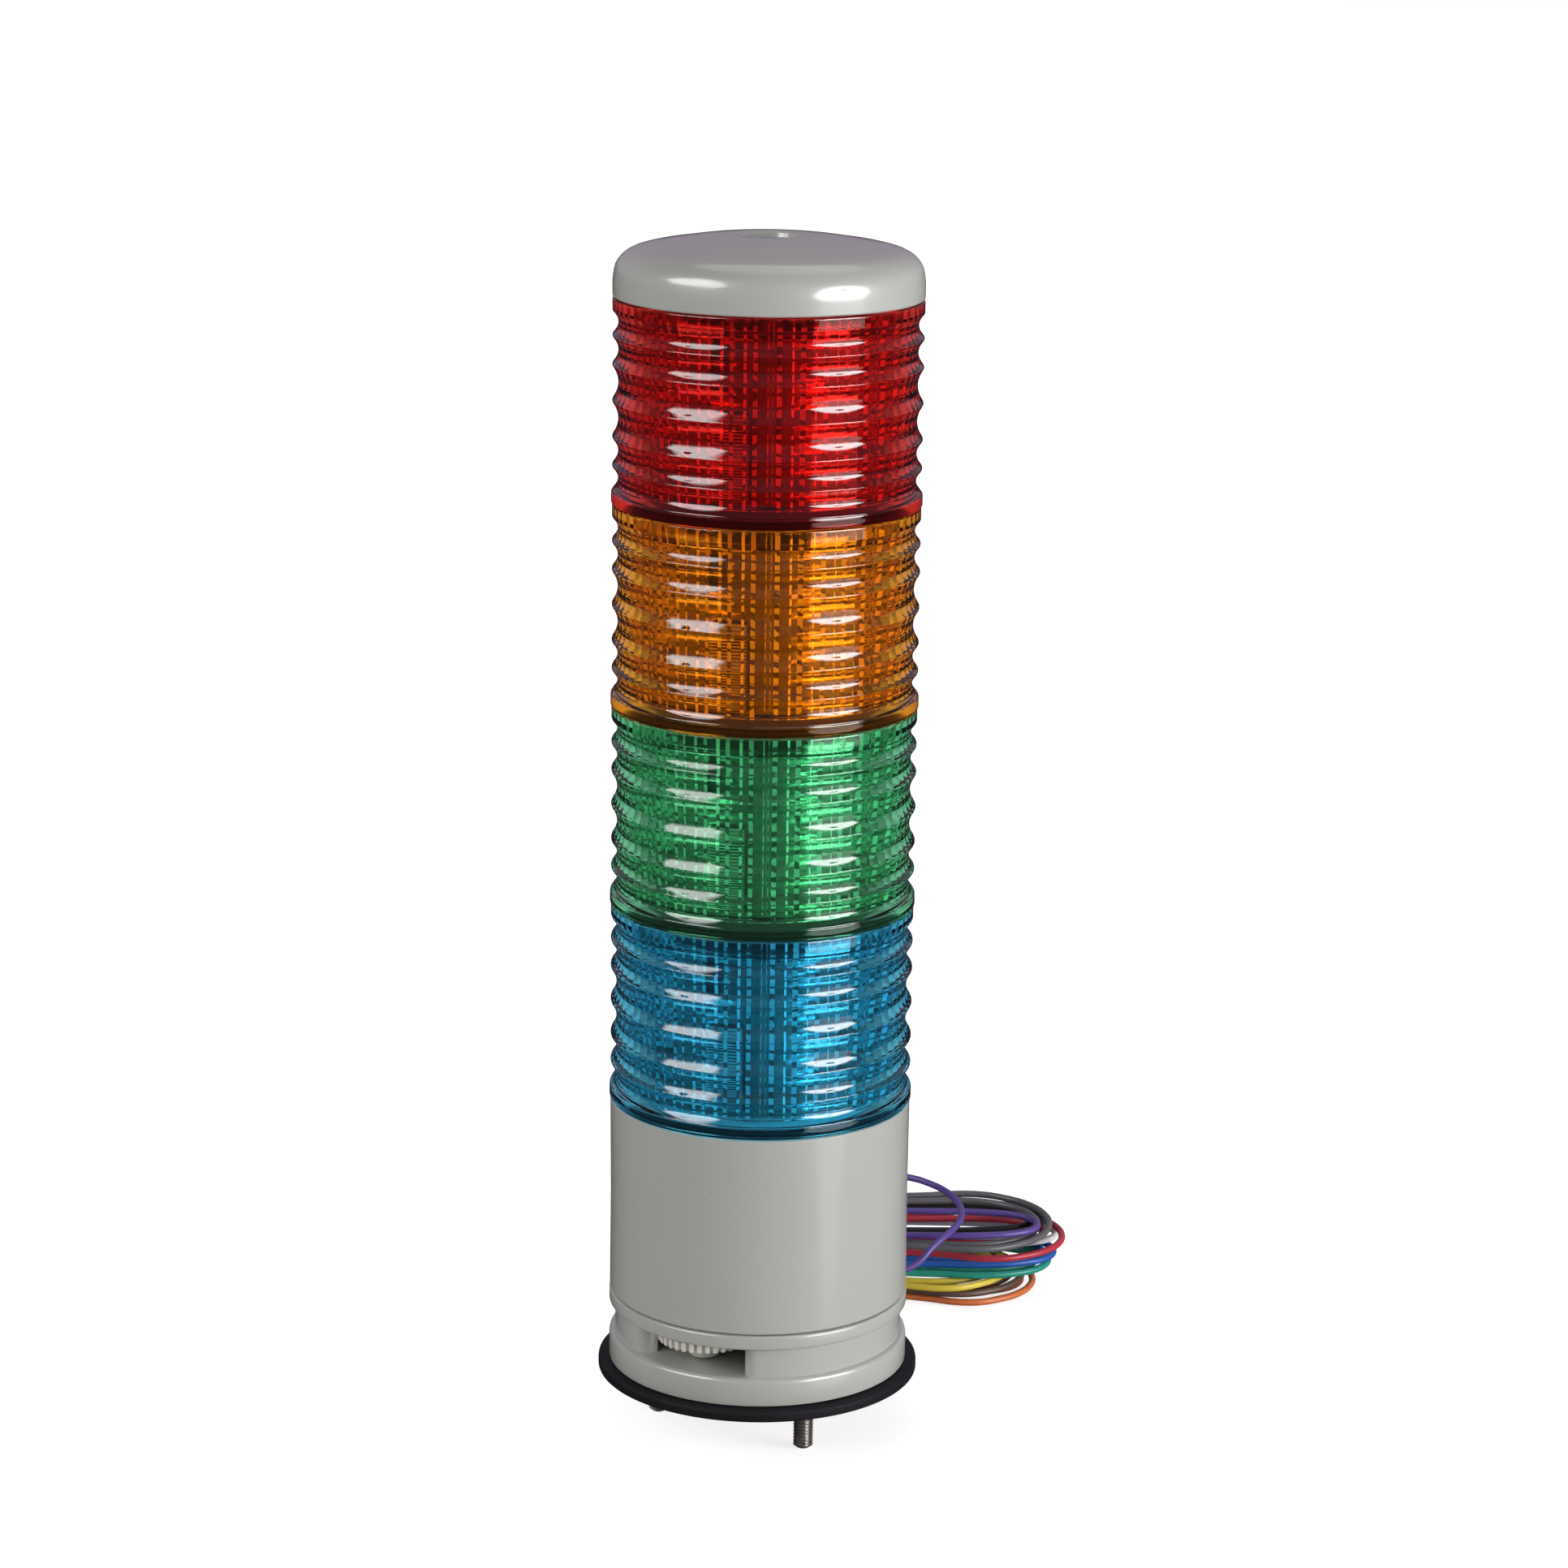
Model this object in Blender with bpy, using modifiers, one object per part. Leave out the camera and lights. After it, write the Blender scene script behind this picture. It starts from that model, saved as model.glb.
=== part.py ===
# Signal tower light: four coloured tiers clamped by one tie rod on a round
# base that holds a sounder and its volume wheel, with ten loose leads.
# Metres, +Z up. The tower's axis is Z, the stud tips touch the plane z = 0
# and the volume wheel faces -Y.
import math

import bmesh
import bpy
from mathutils import Matrix, Vector

# Overall sizes
BODY_RADIUS = 0.0300
TIER_PITCH = 0.0400
GAP = 0.0003
OVERRUN = 0.0010
TURN_STEPS = 20
INNER_STEPS = 12
SMALL_STEPS = 10
MERGE = 0.00001

# Studs and gasket
STUD_REACH = 0.0110
STUD_RADIUS = 0.0020
STUD_TIP = 0.0005
STUD_CIRCLE_SHARE = 2 / 3
STUD_HEAD_RADIUS = 0.0035
STUD_HEAD_HEIGHT = 0.0024
STUD_ANGLES_DEG = (-62, 58, 178)
GASKET_PROUD = 0.0022
GASKET_THICKNESS = 0.0022
GASKET_EDGE = 0.0007
GASKET_BORE_RADIUS = 0.0085

# Foot
FOOT_PROUD = 0.0001
FLANGE_HEIGHT = 0.0056
NECK_HEIGHT = 0.0061
LIP_HEIGHT = 0.0029
NECK_DEPTH = 0.0012
NECK_WALL = 0.0020
FOOT_EDGE = 0.0008
SPIGOT_HEIGHT = 0.0032
SPIGOT_WALL = 0.0012
CABLE_HOLE_RADIUS = 0.0062
SLOT_FROM_DEG = -141.3
SLOT_TO_DEG = -95
SLOT_CORNER = 0.0028

# Base housing
HOUSING_WALL = 0.0020
HOUSING_HEIGHT = 0.0400
LEDGE_WIDTH = 0.0012
LEDGE_DROP = 0.0094
DECK_DROP = 0.0060
DECK_THICKNESS = 0.0025
RIM_WALL = 0.0034
HOUSING_EDGE = 0.0004

# Lenses
LENS_WALL = 0.0022
RIB_DEPTH = 0.00115
RIB_MID_PITCH = 0.0070
RIB_END_PITCH = 0.0056
BAND_PROUD = 0.0002
VALLEY_SHARES = (0.28, 0.72)

# Tier plates and seals
SKIRT_DEPTH = 0.0030
SKIRT_WALL = 0.0015
SEAL_THICKNESS = 0.0008
SEAL_WIDTH = 0.0006
FLANGE_WIDTH = 0.0010
PLATE_TOP = 0.0026
PLATE_WEB = 0.0014

# Inner prisms, boards and reflectors
PRISM_WALL = 0.0016
PRISM_FLUTES = 20
FLUTE_DEPTH = 0.0006
PRISM_SLIT = 0.0009
PRISM_TOP_DROP = 0.0036
BOARD_THICKNESS = 0.0012
BOARD_RADIUS = 0.0235
REFLECTOR_RADIUS = 0.0190
REFLECTOR_WAIST = 0.0172
REFLECTOR_WALL = 0.0016
REFLECTOR_ROWS = 3
REFLECTOR_TOP_DROP = 0.0052

# Tie rod, cap and its nut
ROD_RADIUS = 0.0020
ROD_HEAD_RADIUS = 0.0038
ROD_HEAD_HEIGHT = 0.0026
CAP_HEIGHT = 0.0121
CAP_CROWN_RADIUS = 0.1150
CAP_SHOULDER = 0.0060
CAP_WALL = 0.0022
CAP_DISH_RADIUS = 0.0058
CAP_WELL_RADIUS = 0.0042
CAP_DISH_DEPTH = 0.0013
CAP_WELL_DEPTH = 0.0060
CAP_BOSS_RADIUS = 0.0070
CAP_BOSS_WALL = 0.0022
SHOULDER_SHARES = (0.25, 0.5, 0.75)
CROWN_SHARES = (0.55,)
WASHER_THICKNESS = 0.0008
NUT_RADIUS = 0.0038
NUT_HEIGHT = 0.0036
NUT_TEETH = 14
NUT_TOOTH = 0.0004

# Volume wheel, potentiometer, control board and sounder
WHEEL_RADIUS = 0.0095
WHEEL_THICKNESS = 0.0019
WHEEL_TEETH = 36
WHEEL_TOOTH = 0.0006
WHEEL_HUB_RADIUS = 0.0031
WHEEL_HUB_HEIGHT = 0.0035
WHEEL_REACH = 0.0002
WHEEL_DEG = -122
SPINDLE_RADIUS = 0.0015
SPINDLE_DEPTH = 0.0030
POT_WIDTH = 0.0095
POT_HEIGHT = 0.0052
CONTROL_THICKNESS = 0.0016
SOUNDER_RADIUS = 0.0125
SOUNDER_HEIGHT = 0.0085
SOUNDER_PORT_RADIUS = 0.0020
SOUNDER_PORT_DEPTH = 0.0010

# Leads
LEAD_RADIUS = 0.00075
LEAD_PITCH = 0.0021
GROMMET_DROP = 0.0015
GROMMET_FLANGE_RADIUS = 0.0075
GROMMET_FLANGE_HEIGHT = 0.0016
BEND_RADIUS = 0.0070
LAYER_PITCH = 0.00175
FLOOR_CLEARANCE = 0.0003
LEAD_STEP = 0.0045
HANK_CENTRE_X = 0.0180
LOOP_POINTS = 24
LOOP_STRAIGHTNESS = 2.0
FLARE_BACK = 0.0120
FLARE_LENGTH = 0.0260
LOOP_BLEND_SHARES = (0.70, 0.94)
RING_BLEND_SHARES = (0.78, 0.98)
RING_RISE = 0.0029
RING_TILT_SHARE = 0.09
RING_DROOP = 0.0074
RING_EDGE_Y = 0.0550
RING_DROOP_LENGTH = 0.0100
LEAD_LANE_Y = (0.0160, 0.0300, 0.0360, 0.0430)
LEAD_CLIMB_SHARES = (0.0, 0.12, 0.50, 1.0)
LEAD_TURN_SHARES = ((0.25, 0.62),)
LEAD_RUN_IN = 0.0050
# name, colour, lane, row, then the first and the last loop's reach in x,
# centre y, half width at the right and half width at the left, then turns
LEADS = (
    ("orange", (0.75, 0.19, 0.06), 0, 0,
     (0.0428, 0.0765, 0.0183, 0.0090), (0.0402, 0.0765, 0.0110, 0.0065), 1.66),
    ("brown", (0.13, 0.08, 0.06), 1, 0,
     (0.0404, 0.0760, 0.0170, 0.0090), (0.0378, 0.0760, 0.0125, 0.0065), 1.67),
    ("yellow", (0.80, 0.62, 0.06), 2, 0,
     (0.0372, 0.0755, 0.0177, 0.0090), (0.0344, 0.0755, 0.0129, 0.0065), 1.65),
    ("green", (0.02, 0.33, 0.24), 3, 0,
     (0.0460, 0.0745, 0.0125, 0.0090), (0.0434, 0.0745, 0.0083, 0.0065), 1.66),
    ("blue", (0.02, 0.12, 0.50), 4, 0,
     (0.0472, 0.0750, 0.0107, 0.0090), (0.0446, 0.0750, 0.0078, 0.0062), 1.65),
    ("white", (0.80, 0.80, 0.80), 0, 1,
     (0.0480, 0.0815, 0.0088, 0.0088), (0.0454, 0.0815, 0.0062, 0.0062), 1.65),
    ("red", (0.55, 0.04, 0.07), 1, 1,
     (0.0490, 0.0755, 0.0184, 0.0110), (0.0450, 0.0775, 0.0090, 0.0062), 1.66),
    ("black", (0.02, 0.02, 0.02), 2, 1,
     (0.0450, 0.0805, 0.0120, 0.0110), (0.0424, 0.0805, 0.0085, 0.0080), 1.65),
    ("grey", (0.13, 0.13, 0.14), 4, 1,
     (0.0460, 0.0739, 0.0210, 0.0150), (0.0434, 0.0731, 0.0164, 0.0120), 1.65),
    ("violet", (0.12, 0.07, 0.33), 3, 1,
     (0.0430, 0.0675, 0.0085, 0.0075), (0.0263, 0.0670, 0.0205, 0.0085), 1.65),
)

# Levels
foot_z = STUD_REACH + GASKET_THICKNESS + GAP
floor_z = foot_z + FLANGE_HEIGHT
lip_z = floor_z + NECK_HEIGHT
foot_top = lip_z + LIP_HEIGHT
housing_z = foot_top + GAP
housing_top = housing_z + HOUSING_HEIGHT
tier_z = housing_top + GAP
cap_z = tier_z + 4 * TIER_PITCH
cap_top = cap_z + CAP_HEIGHT

# Radii shared by the pieces that plug into each other
foot_radius = BODY_RADIUS + FOOT_PROUD
neck_radius = foot_radius - NECK_DEPTH
gasket_radius = foot_radius + GASKET_PROUD
stud_circle = BODY_RADIUS * STUD_CIRCLE_SHARE
lens_bore = BODY_RADIUS - RIB_DEPTH - LENS_WALL
skirt_radius = lens_bore - GAP
plate_radius = skirt_radius + FLANGE_WIDTH
spigot_radius = BODY_RADIUS - HOUSING_WALL - GAP

PLASTIC = ("housing_grey", (0.47, 0.47, 0.44), 0.38, 0.0)
STEEL = ("steel", (0.55, 0.54, 0.52), 0.28, 1.0)
RUBBER = ("rubber", (0.02, 0.02, 0.022), 0.75, 0.0)
SILVER = ("reflector", (0.78, 0.78, 0.76), 0.22, 0.3)
BOARD = ("board", (0.03, 0.14, 0.07), 0.50, 0.0)
PLATE = ("plate", (0.10, 0.10, 0.10), 0.45, 0.0)
CLEAR = ("prism", (0.80, 0.82, 0.82), 0.08, 0.0)
WHEEL = ("wheel", (0.55, 0.54, 0.48), 0.45, 0.0)
PIEZO = ("sounder", (0.03, 0.03, 0.03), 0.50, 0.0)
BRASS = ("brass", (0.70, 0.52, 0.22), 0.30, 1.0)
TIERS = (
    ("blue", (0.02, 0.22, 0.55)),
    ("green", (0.03, 0.42, 0.12)),
    ("orange", (0.85, 0.30, 0.02)),
    ("red", (0.60, 0.01, 0.01)),
)


def clear_scene():
    for ob in list(bpy.data.objects):
        bpy.data.objects.remove(ob)


def collection(name):
    coll = bpy.data.collections.get(name) or bpy.data.collections.new(name)
    if coll.name not in bpy.context.scene.collection.children:
        bpy.context.scene.collection.children.link(coll)
    return coll


def material(spec):
    name, colour, roughness, metallic = spec
    mat = bpy.data.materials.get(name)
    if mat:
        return mat
    mat = bpy.data.materials.new(name)
    mat.use_nodes = True
    bsdf = mat.node_tree.nodes["Principled BSDF"]
    bsdf.inputs["Base Color"].default_value = (*colour, 1.0)
    bsdf.inputs["Roughness"].default_value = roughness
    bsdf.inputs["Metallic"].default_value = metallic
    mat.diffuse_color = (*colour, 1.0)
    return mat


def add_object(name, data, spec):
    ob = bpy.data.objects.new(name, data)
    collection("signal_tower_light").objects.link(ob)
    data.materials.append(material(spec))
    return ob


def bake(ob, sharp_deg=35):
    """Turn an object with modifiers, or a curve, into a plain shaded mesh."""
    bpy.context.view_layer.update()
    depsgraph = bpy.context.evaluated_depsgraph_get()
    mesh = bpy.data.meshes.new_from_object(ob.evaluated_get(depsgraph))
    bm = bmesh.new()
    bm.from_mesh(mesh)
    bmesh.ops.remove_doubles(bm, verts=bm.verts, dist=MERGE)
    bm.to_mesh(mesh)
    bm.free()
    mesh.shade_smooth()
    mesh.set_sharp_from_angle(angle=math.radians(sharp_deg))
    baked = bpy.data.objects.new(ob.name + "_baked", mesh)
    baked.matrix_world = ob.matrix_world
    for coll in ob.users_collection:
        coll.objects.link(baked)
    name = ob.name
    bpy.data.objects.remove(ob)
    baked.name = name
    return baked


def turned(name, section, spec, steps=TURN_STEPS, closed=True):
    """A turned piece. The section runs down the outside and up the inside."""
    mesh = bpy.data.meshes.new(name)
    count = len(section)
    edges = [(i, i + 1) for i in range(count - 1)]
    if closed:
        edges.append((count - 1, 0))
    mesh.from_pydata([(r, 0, z) for r, z in section], edges, [])
    ob = add_object(name, mesh, spec)
    screw = ob.modifiers.new("turn", "SCREW")
    screw.steps = steps
    screw.render_steps = steps
    screw.use_merge_vertices = True
    screw.merge_threshold = MERGE
    return bake(ob)


def outline(name, points, depth, z, spec):
    """A flat outline, thickened to depth, with its lower face at z."""
    curve = bpy.data.curves.new(name, "CURVE")
    curve.dimensions = "2D"
    curve.fill_mode = "BOTH"
    curve.extrude = depth / 2
    spline = curve.splines.new("POLY")
    spline.points.add(len(points) - 1)
    for i, (x, y) in enumerate(points):
        spline.points[i].co = (x, y, 0, 1)
    spline.use_cyclic_u = True
    ob = add_object(name, curve, spec)
    ob.location.z = z + depth / 2
    return bake(ob)


def cutter(name, mesh):
    ob = bpy.data.objects.new(name, mesh)
    collection("cutters").objects.link(ob)
    ob.hide_render = True
    ob.display_type = "WIRE"
    return ob


def cylinder_mesh(name, radius, z0, z1, x=0, y=0, steps=SMALL_STEPS):
    mesh = bpy.data.meshes.new(name)
    bm = bmesh.new()
    place = Matrix.Translation((x, y, (z0 + z1) / 2))
    bmesh.ops.create_cone(bm, cap_ends=True, segments=steps, radius1=radius,
                          radius2=radius, depth=z1 - z0, matrix=place)
    bm.to_mesh(mesh)
    bm.free()
    return mesh


def box_mesh(name, low, high):
    mesh = bpy.data.meshes.new(name)
    low, high = Vector(low), Vector(high)
    bm = bmesh.new()
    size = Matrix.Diagonal((*(high - low), 1))
    bmesh.ops.create_cube(bm, size=1, matrix=Matrix.Translation((low + high) / 2) @ size)
    bm.to_mesh(mesh)
    bm.free()
    return mesh


def combine(ob, other, operation):
    mod = ob.modifiers.new(other.name, "BOOLEAN")
    mod.operation = operation
    mod.solver = "EXACT"
    mod.object = other


def polar(radius, degrees):
    angle = math.radians(degrees)
    return radius * math.cos(angle), radius * math.sin(angle)


# Studs, gasket and foot


def mounting_stud(name, degrees):
    head_z = floor_z + GAP
    top = head_z + STUD_HEAD_HEIGHT
    section = [
        (0, top),
        (STUD_HEAD_RADIUS, top),
        (STUD_HEAD_RADIUS, head_z),
        (STUD_RADIUS, head_z),
        (STUD_RADIUS, STUD_TIP),
        (STUD_RADIUS - STUD_TIP, 0),
        (0, 0),
    ]
    stud = turned(name, section, STEEL, SMALL_STEPS, closed=False)
    x, y = polar(stud_circle, degrees)
    stud.location = (x, y, 0)
    return stud


def gasket():
    z0 = STUD_REACH
    z1 = z0 + GASKET_THICKNESS
    ring = turned("gasket", [
        (gasket_radius - GASKET_EDGE, z1),
        (gasket_radius, z1 - GASKET_EDGE),
        (gasket_radius, z0),
        (GASKET_BORE_RADIUS, z0),
        (GASKET_BORE_RADIUS, z1),
    ], RUBBER)
    for i, degrees in enumerate(STUD_ANGLES_DEG):
        x, y = polar(stud_circle, degrees)
        hole = cylinder_mesh("gasket_hole", STUD_RADIUS + GAP, z0 - OVERRUN, z1 + OVERRUN, x, y)
        combine(ring, cutter(f"gasket_hole_{i}", hole), "DIFFERENCE")
    return bake(ring)


def slot_outline():
    """The wheel slot seen from above: straight wall right, rounded wall left."""
    outer = foot_radius + OVERRUN
    inner = neck_radius - NECK_WALL - OVERRUN
    points = [polar(inner, SLOT_TO_DEG), polar(outer, SLOT_TO_DEG)]
    mid = (SLOT_FROM_DEG + SLOT_TO_DEG) / 2
    points.append(polar(outer + OVERRUN, mid))
    flare = math.degrees(SLOT_CORNER / neck_radius)
    points.append(polar(outer, SLOT_FROM_DEG - flare))
    rounding = (0.0, 0.3, 0.65, 1.0)
    for share in rounding:
        turn = share * math.pi / 2
        depth = NECK_WALL * (1 - math.sin(turn))
        points.append(polar(neck_radius - NECK_WALL + depth,
                            SLOT_FROM_DEG - flare * math.cos(turn)))
    points.append(polar(inner, SLOT_FROM_DEG))
    return points


def base_foot():
    edge = FOOT_EDGE
    neck_bore = neck_radius - NECK_WALL
    spigot_top = foot_top + SPIGOT_HEIGHT
    foot = turned("base_foot", [
        (spigot_radius, spigot_top),
        (spigot_radius, foot_top),
        (foot_radius - edge / 2, foot_top),
        (foot_radius, foot_top - edge / 2),
        (foot_radius, lip_z + edge),
        (foot_radius - edge / 2, lip_z),
        (neck_radius, lip_z),
        (neck_radius, floor_z),
        (foot_radius - edge, floor_z),
        (foot_radius, floor_z - edge),
        (foot_radius, foot_z),
        (CABLE_HOLE_RADIUS + GAP, foot_z),
        (CABLE_HOLE_RADIUS + GAP, floor_z),
        (neck_bore, floor_z),
        (neck_bore, lip_z),
        (spigot_radius - SPIGOT_WALL, foot_top),
        (spigot_radius - SPIGOT_WALL, spigot_top),
    ], PLASTIC)
    slot = outline("wheel_slot", slot_outline(), NECK_HEIGHT, floor_z, PLASTIC)
    collection("signal_tower_light").objects.unlink(slot)
    collection("cutters").objects.link(slot)
    slot.hide_render = True
    slot.display_type = "WIRE"
    combine(foot, slot, "DIFFERENCE")
    for i, degrees in enumerate(STUD_ANGLES_DEG):
        x, y = polar(stud_circle, degrees)
        hole = cylinder_mesh("stud_hole", STUD_RADIUS + GAP, foot_z - OVERRUN,
                             floor_z + OVERRUN, x, y)
        combine(foot, cutter(f"stud_hole_{i}", hole), "DIFFERENCE")
    return bake(foot)


def lead_grommet():
    top = floor_z + GAP + GROMMET_FLANGE_HEIGHT
    return turned("lead_grommet", [
        (0, top),
        (GROMMET_FLANGE_RADIUS, top),
        (GROMMET_FLANGE_RADIUS, floor_z + GAP),
        (CABLE_HOLE_RADIUS, floor_z + GAP),
        (CABLE_HOLE_RADIUS, foot_z - GROMMET_DROP),
        (0, foot_z - GROMMET_DROP),
    ], RUBBER, INNER_STEPS, closed=False)


# Volume wheel, potentiometer, control board and sounder


def wheel_centre():
    return polar(neck_radius + WHEEL_REACH - WHEEL_RADIUS, WHEEL_DEG)


wheel_z = floor_z + GAP + WHEEL_HUB_HEIGHT
wheel_top = wheel_z + WHEEL_THICKNESS
control_top = housing_z + LEDGE_DROP
control_z = control_top - CONTROL_THICKNESS
pot_top = control_z - GAP
pot_z = pot_top - POT_HEIGHT


def volume_wheel():
    points = []
    # each tooth: root, then its land
    tooth_shares = ((0.0, 0), (0.18, 1), (0.82, 1))
    for tooth in range(WHEEL_TEETH):
        for share, out in tooth_shares:
            radius = WHEEL_RADIUS - WHEEL_TOOTH * (1 - out)
            points.append(polar(radius, 360 * (tooth + share) / WHEEL_TEETH))
    wheel = outline("volume_wheel", points, WHEEL_THICKNESS, wheel_z, WHEEL)
    hub = cylinder_mesh("wheel_hub", WHEEL_HUB_RADIUS, floor_z + GAP, wheel_z + OVERRUN)
    combine(wheel, cutter("wheel_hub", hub), "UNION")
    spindle = cylinder_mesh("wheel_spindle", SPINDLE_RADIUS, wheel_top - OVERRUN,
                            pot_z + SPINDLE_DEPTH)
    combine(wheel, cutter("wheel_spindle", spindle), "UNION")
    # the hub and spindle follow the wheel's own origin, on the joint axis
    shift = Matrix.Translation((0, 0, -wheel.location.z))
    for name in ("wheel_hub", "wheel_spindle"):
        bpy.data.objects[name].parent = wheel
        bpy.data.objects[name].data.transform(shift)
    x, y = wheel_centre()
    wheel.location.x = x
    wheel.location.y = y
    return bake_in_place(wheel)


def bake_in_place(ob):
    """Bake a piece whose helpers are its children, then drop the helpers."""
    helpers = list(ob.children)
    baked = bake(ob)
    for helper in helpers:
        bpy.data.objects.remove(helper)
    return baked


def volume_pot():
    x, y = wheel_centre()
    half = POT_WIDTH / 2
    pot = add_object("volume_pot", box_mesh("volume_pot", (x - half, y - half, pot_z),
                                            (x + half, y + half, pot_top)), BOARD)
    bore = cylinder_mesh("pot_bore", SPINDLE_RADIUS + GAP, pot_z - OVERRUN,
                         pot_z + SPINDLE_DEPTH + GAP, x, y)
    combine(pot, cutter("pot_bore", bore), "DIFFERENCE")
    return bake(pot)


def control_board():
    radius = BODY_RADIUS - HOUSING_WALL - GAP
    return turned("control_board", [
        (0, control_top - GAP),
        (radius, control_top - GAP),
        (radius, control_z),
        (0, control_z),
    ], BOARD, closed=False)


def sounder():
    z0 = control_top
    z1 = z0 + SOUNDER_HEIGHT
    return turned("sounder", [
        (0, z1 - SOUNDER_PORT_DEPTH),
        (SOUNDER_PORT_RADIUS, z1 - SOUNDER_PORT_DEPTH),
        (SOUNDER_PORT_RADIUS, z1),
        (SOUNDER_RADIUS, z1),
        (SOUNDER_RADIUS, z0),
        (0, z0),
    ], PIEZO, INNER_STEPS, closed=False)


def base_housing():
    bore = BODY_RADIUS - HOUSING_WALL
    ledge = bore - LEDGE_WIDTH
    deck_top = housing_top - DECK_DROP
    deck_z = deck_top - DECK_THICKNESS
    edge = HOUSING_EDGE
    return turned("base_housing", [
        (BODY_RADIUS - edge, housing_top),
        (BODY_RADIUS, housing_top - edge),
        (BODY_RADIUS, housing_z + edge / 2),
        (BODY_RADIUS - edge / 2, housing_z),
        (bore, housing_z),
        (bore, control_top),
        (ledge, control_top),
        (ledge, deck_z),
        (ROD_RADIUS + GAP, deck_z),
        (ROD_RADIUS + GAP, deck_top),
        (lens_bore, deck_top),
        (lens_bore, housing_top),
    ], PLASTIC)


# Tiers


def rib_heights():
    """The crest heights of a lens, top to bottom, about its middle."""
    mid = (TIER_PITCH - GAP) / 2
    offsets = (
        RIB_MID_PITCH + RIB_END_PITCH,
        RIB_MID_PITCH,
        0,
        -RIB_MID_PITCH,
        -RIB_MID_PITCH - RIB_END_PITCH,
    )
    return [mid + offset for offset in offsets]


def lens_section():
    height = TIER_PITCH - GAP
    mid = height / 2
    band = RIB_MID_PITCH + RIB_END_PITCH + (RIB_MID_PITCH + RIB_END_PITCH) * 2 / 5
    crests = [mid + band] + rib_heights() + [mid - band]
    low_band = BODY_RADIUS + BAND_PROUD
    section = [(BODY_RADIUS, height)]
    for upper, lower in zip(crests, crests[1:]):
        section.append((BODY_RADIUS, upper))
        for share in VALLEY_SHARES:
            section.append((BODY_RADIUS - RIB_DEPTH, upper + (lower - upper) * share))
    section.append((low_band, crests[-1]))
    section.append((low_band, 0))
    recess = plate_radius + GAP
    recess_top = PLATE_TOP + GAP
    section.append((recess, 0))
    section.append((recess, recess_top))
    section.append((lens_bore, recess_top))
    section.append((lens_bore, height))
    return section


def lens(colour_name, colour, z):
    spec = (f"lens_{colour_name}", colour, 0.06, 0.0)
    part = turned(f"lens_{colour_name}", lens_section(), spec)
    part.location.z = z
    return part


def seal(name, z):
    outer = skirt_radius + GAP + SEAL_WIDTH
    ring = turned(name, [
        (outer, SEAL_THICKNESS),
        (outer, 0),
        (skirt_radius + GAP, 0),
        (skirt_radius + GAP, SEAL_THICKNESS),
    ], RUBBER)
    ring.location.z = z
    return ring


def tier_plate(name, z):
    flange_z = SEAL_THICKNESS + GAP
    web_z = PLATE_TOP - PLATE_WEB
    bore = skirt_radius - SKIRT_WALL
    plate = turned(name, [
        (plate_radius, PLATE_TOP),
        (plate_radius, flange_z),
        (skirt_radius, flange_z),
        (skirt_radius, -SKIRT_DEPTH),
        (bore, -SKIRT_DEPTH),
        (bore, web_z),
        (ROD_RADIUS + GAP, web_z),
        (ROD_RADIUS + GAP, PLATE_TOP),
    ], PLATE)
    plate.location.z = z
    return plate


def prism_points():
    """A C-shaped tube wall: plain outside, fluted inside, slit to the front."""
    outer = lens_bore - 2 * GAP
    valley = outer - PRISM_WALL
    crest = valley + FLUTE_DEPTH
    half_slit = math.degrees(PRISM_SLIT / 2 / outer)
    span = 360 - 2 * half_slit
    start = -90 + half_slit
    points = []
    for i in range(PRISM_FLUTES + 1):
        points.append(polar(outer, start + span * i / PRISM_FLUTES))
    for i in range(2 * PRISM_FLUTES, -1, -1):
        radius = crest if i % 2 else valley
        points.append(polar(radius, start + span * i / (2 * PRISM_FLUTES)))
    return points


def prism(name, z):
    low = PLATE_TOP + GAP
    height = TIER_PITCH - PRISM_TOP_DROP - low
    return outline(name, prism_points(), height, z + low, CLEAR)


def led_board(name, z):
    low = PLATE_TOP + GAP
    board = turned(name, [
        (BOARD_RADIUS, low + BOARD_THICKNESS),
        (BOARD_RADIUS, low),
        (ROD_RADIUS + GAP, low),
        (ROD_RADIUS + GAP, low + BOARD_THICKNESS),
    ], BOARD, INNER_STEPS)
    board.location.z = z
    return board


def reflector(name, z):
    """A hollow column of stacked cones that throws the light outwards."""
    low = PLATE_TOP + BOARD_THICKNESS + 2 * GAP
    high = TIER_PITCH - REFLECTOR_TOP_DROP
    pitch = (high - low) / REFLECTOR_ROWS
    section = []
    for row in range(REFLECTOR_ROWS, 0, -1):
        section.append((REFLECTOR_RADIUS, low + pitch * row))
        section.append((REFLECTOR_WAIST, low + pitch * (row - 1 / 2)))
    section.append((REFLECTOR_RADIUS, low))
    section.append((REFLECTOR_WAIST - REFLECTOR_WALL, low))
    section.append((REFLECTOR_WAIST - REFLECTOR_WALL, high))
    column = turned(name, section, SILVER, INNER_STEPS)
    column.location.z = z
    return column


# Tie rod, cap and nut


def crown_height(radius):
    """The cap's height above its lower edge, on its crown."""
    return CAP_HEIGHT - radius * radius / (2 * CAP_CROWN_RADIUS)


cap_well_z = cap_z + CAP_HEIGHT - CAP_DISH_DEPTH - CAP_WELL_DEPTH
washer_z = cap_well_z + GAP
nut_z = washer_z + WASHER_THICKNESS + GAP


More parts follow.
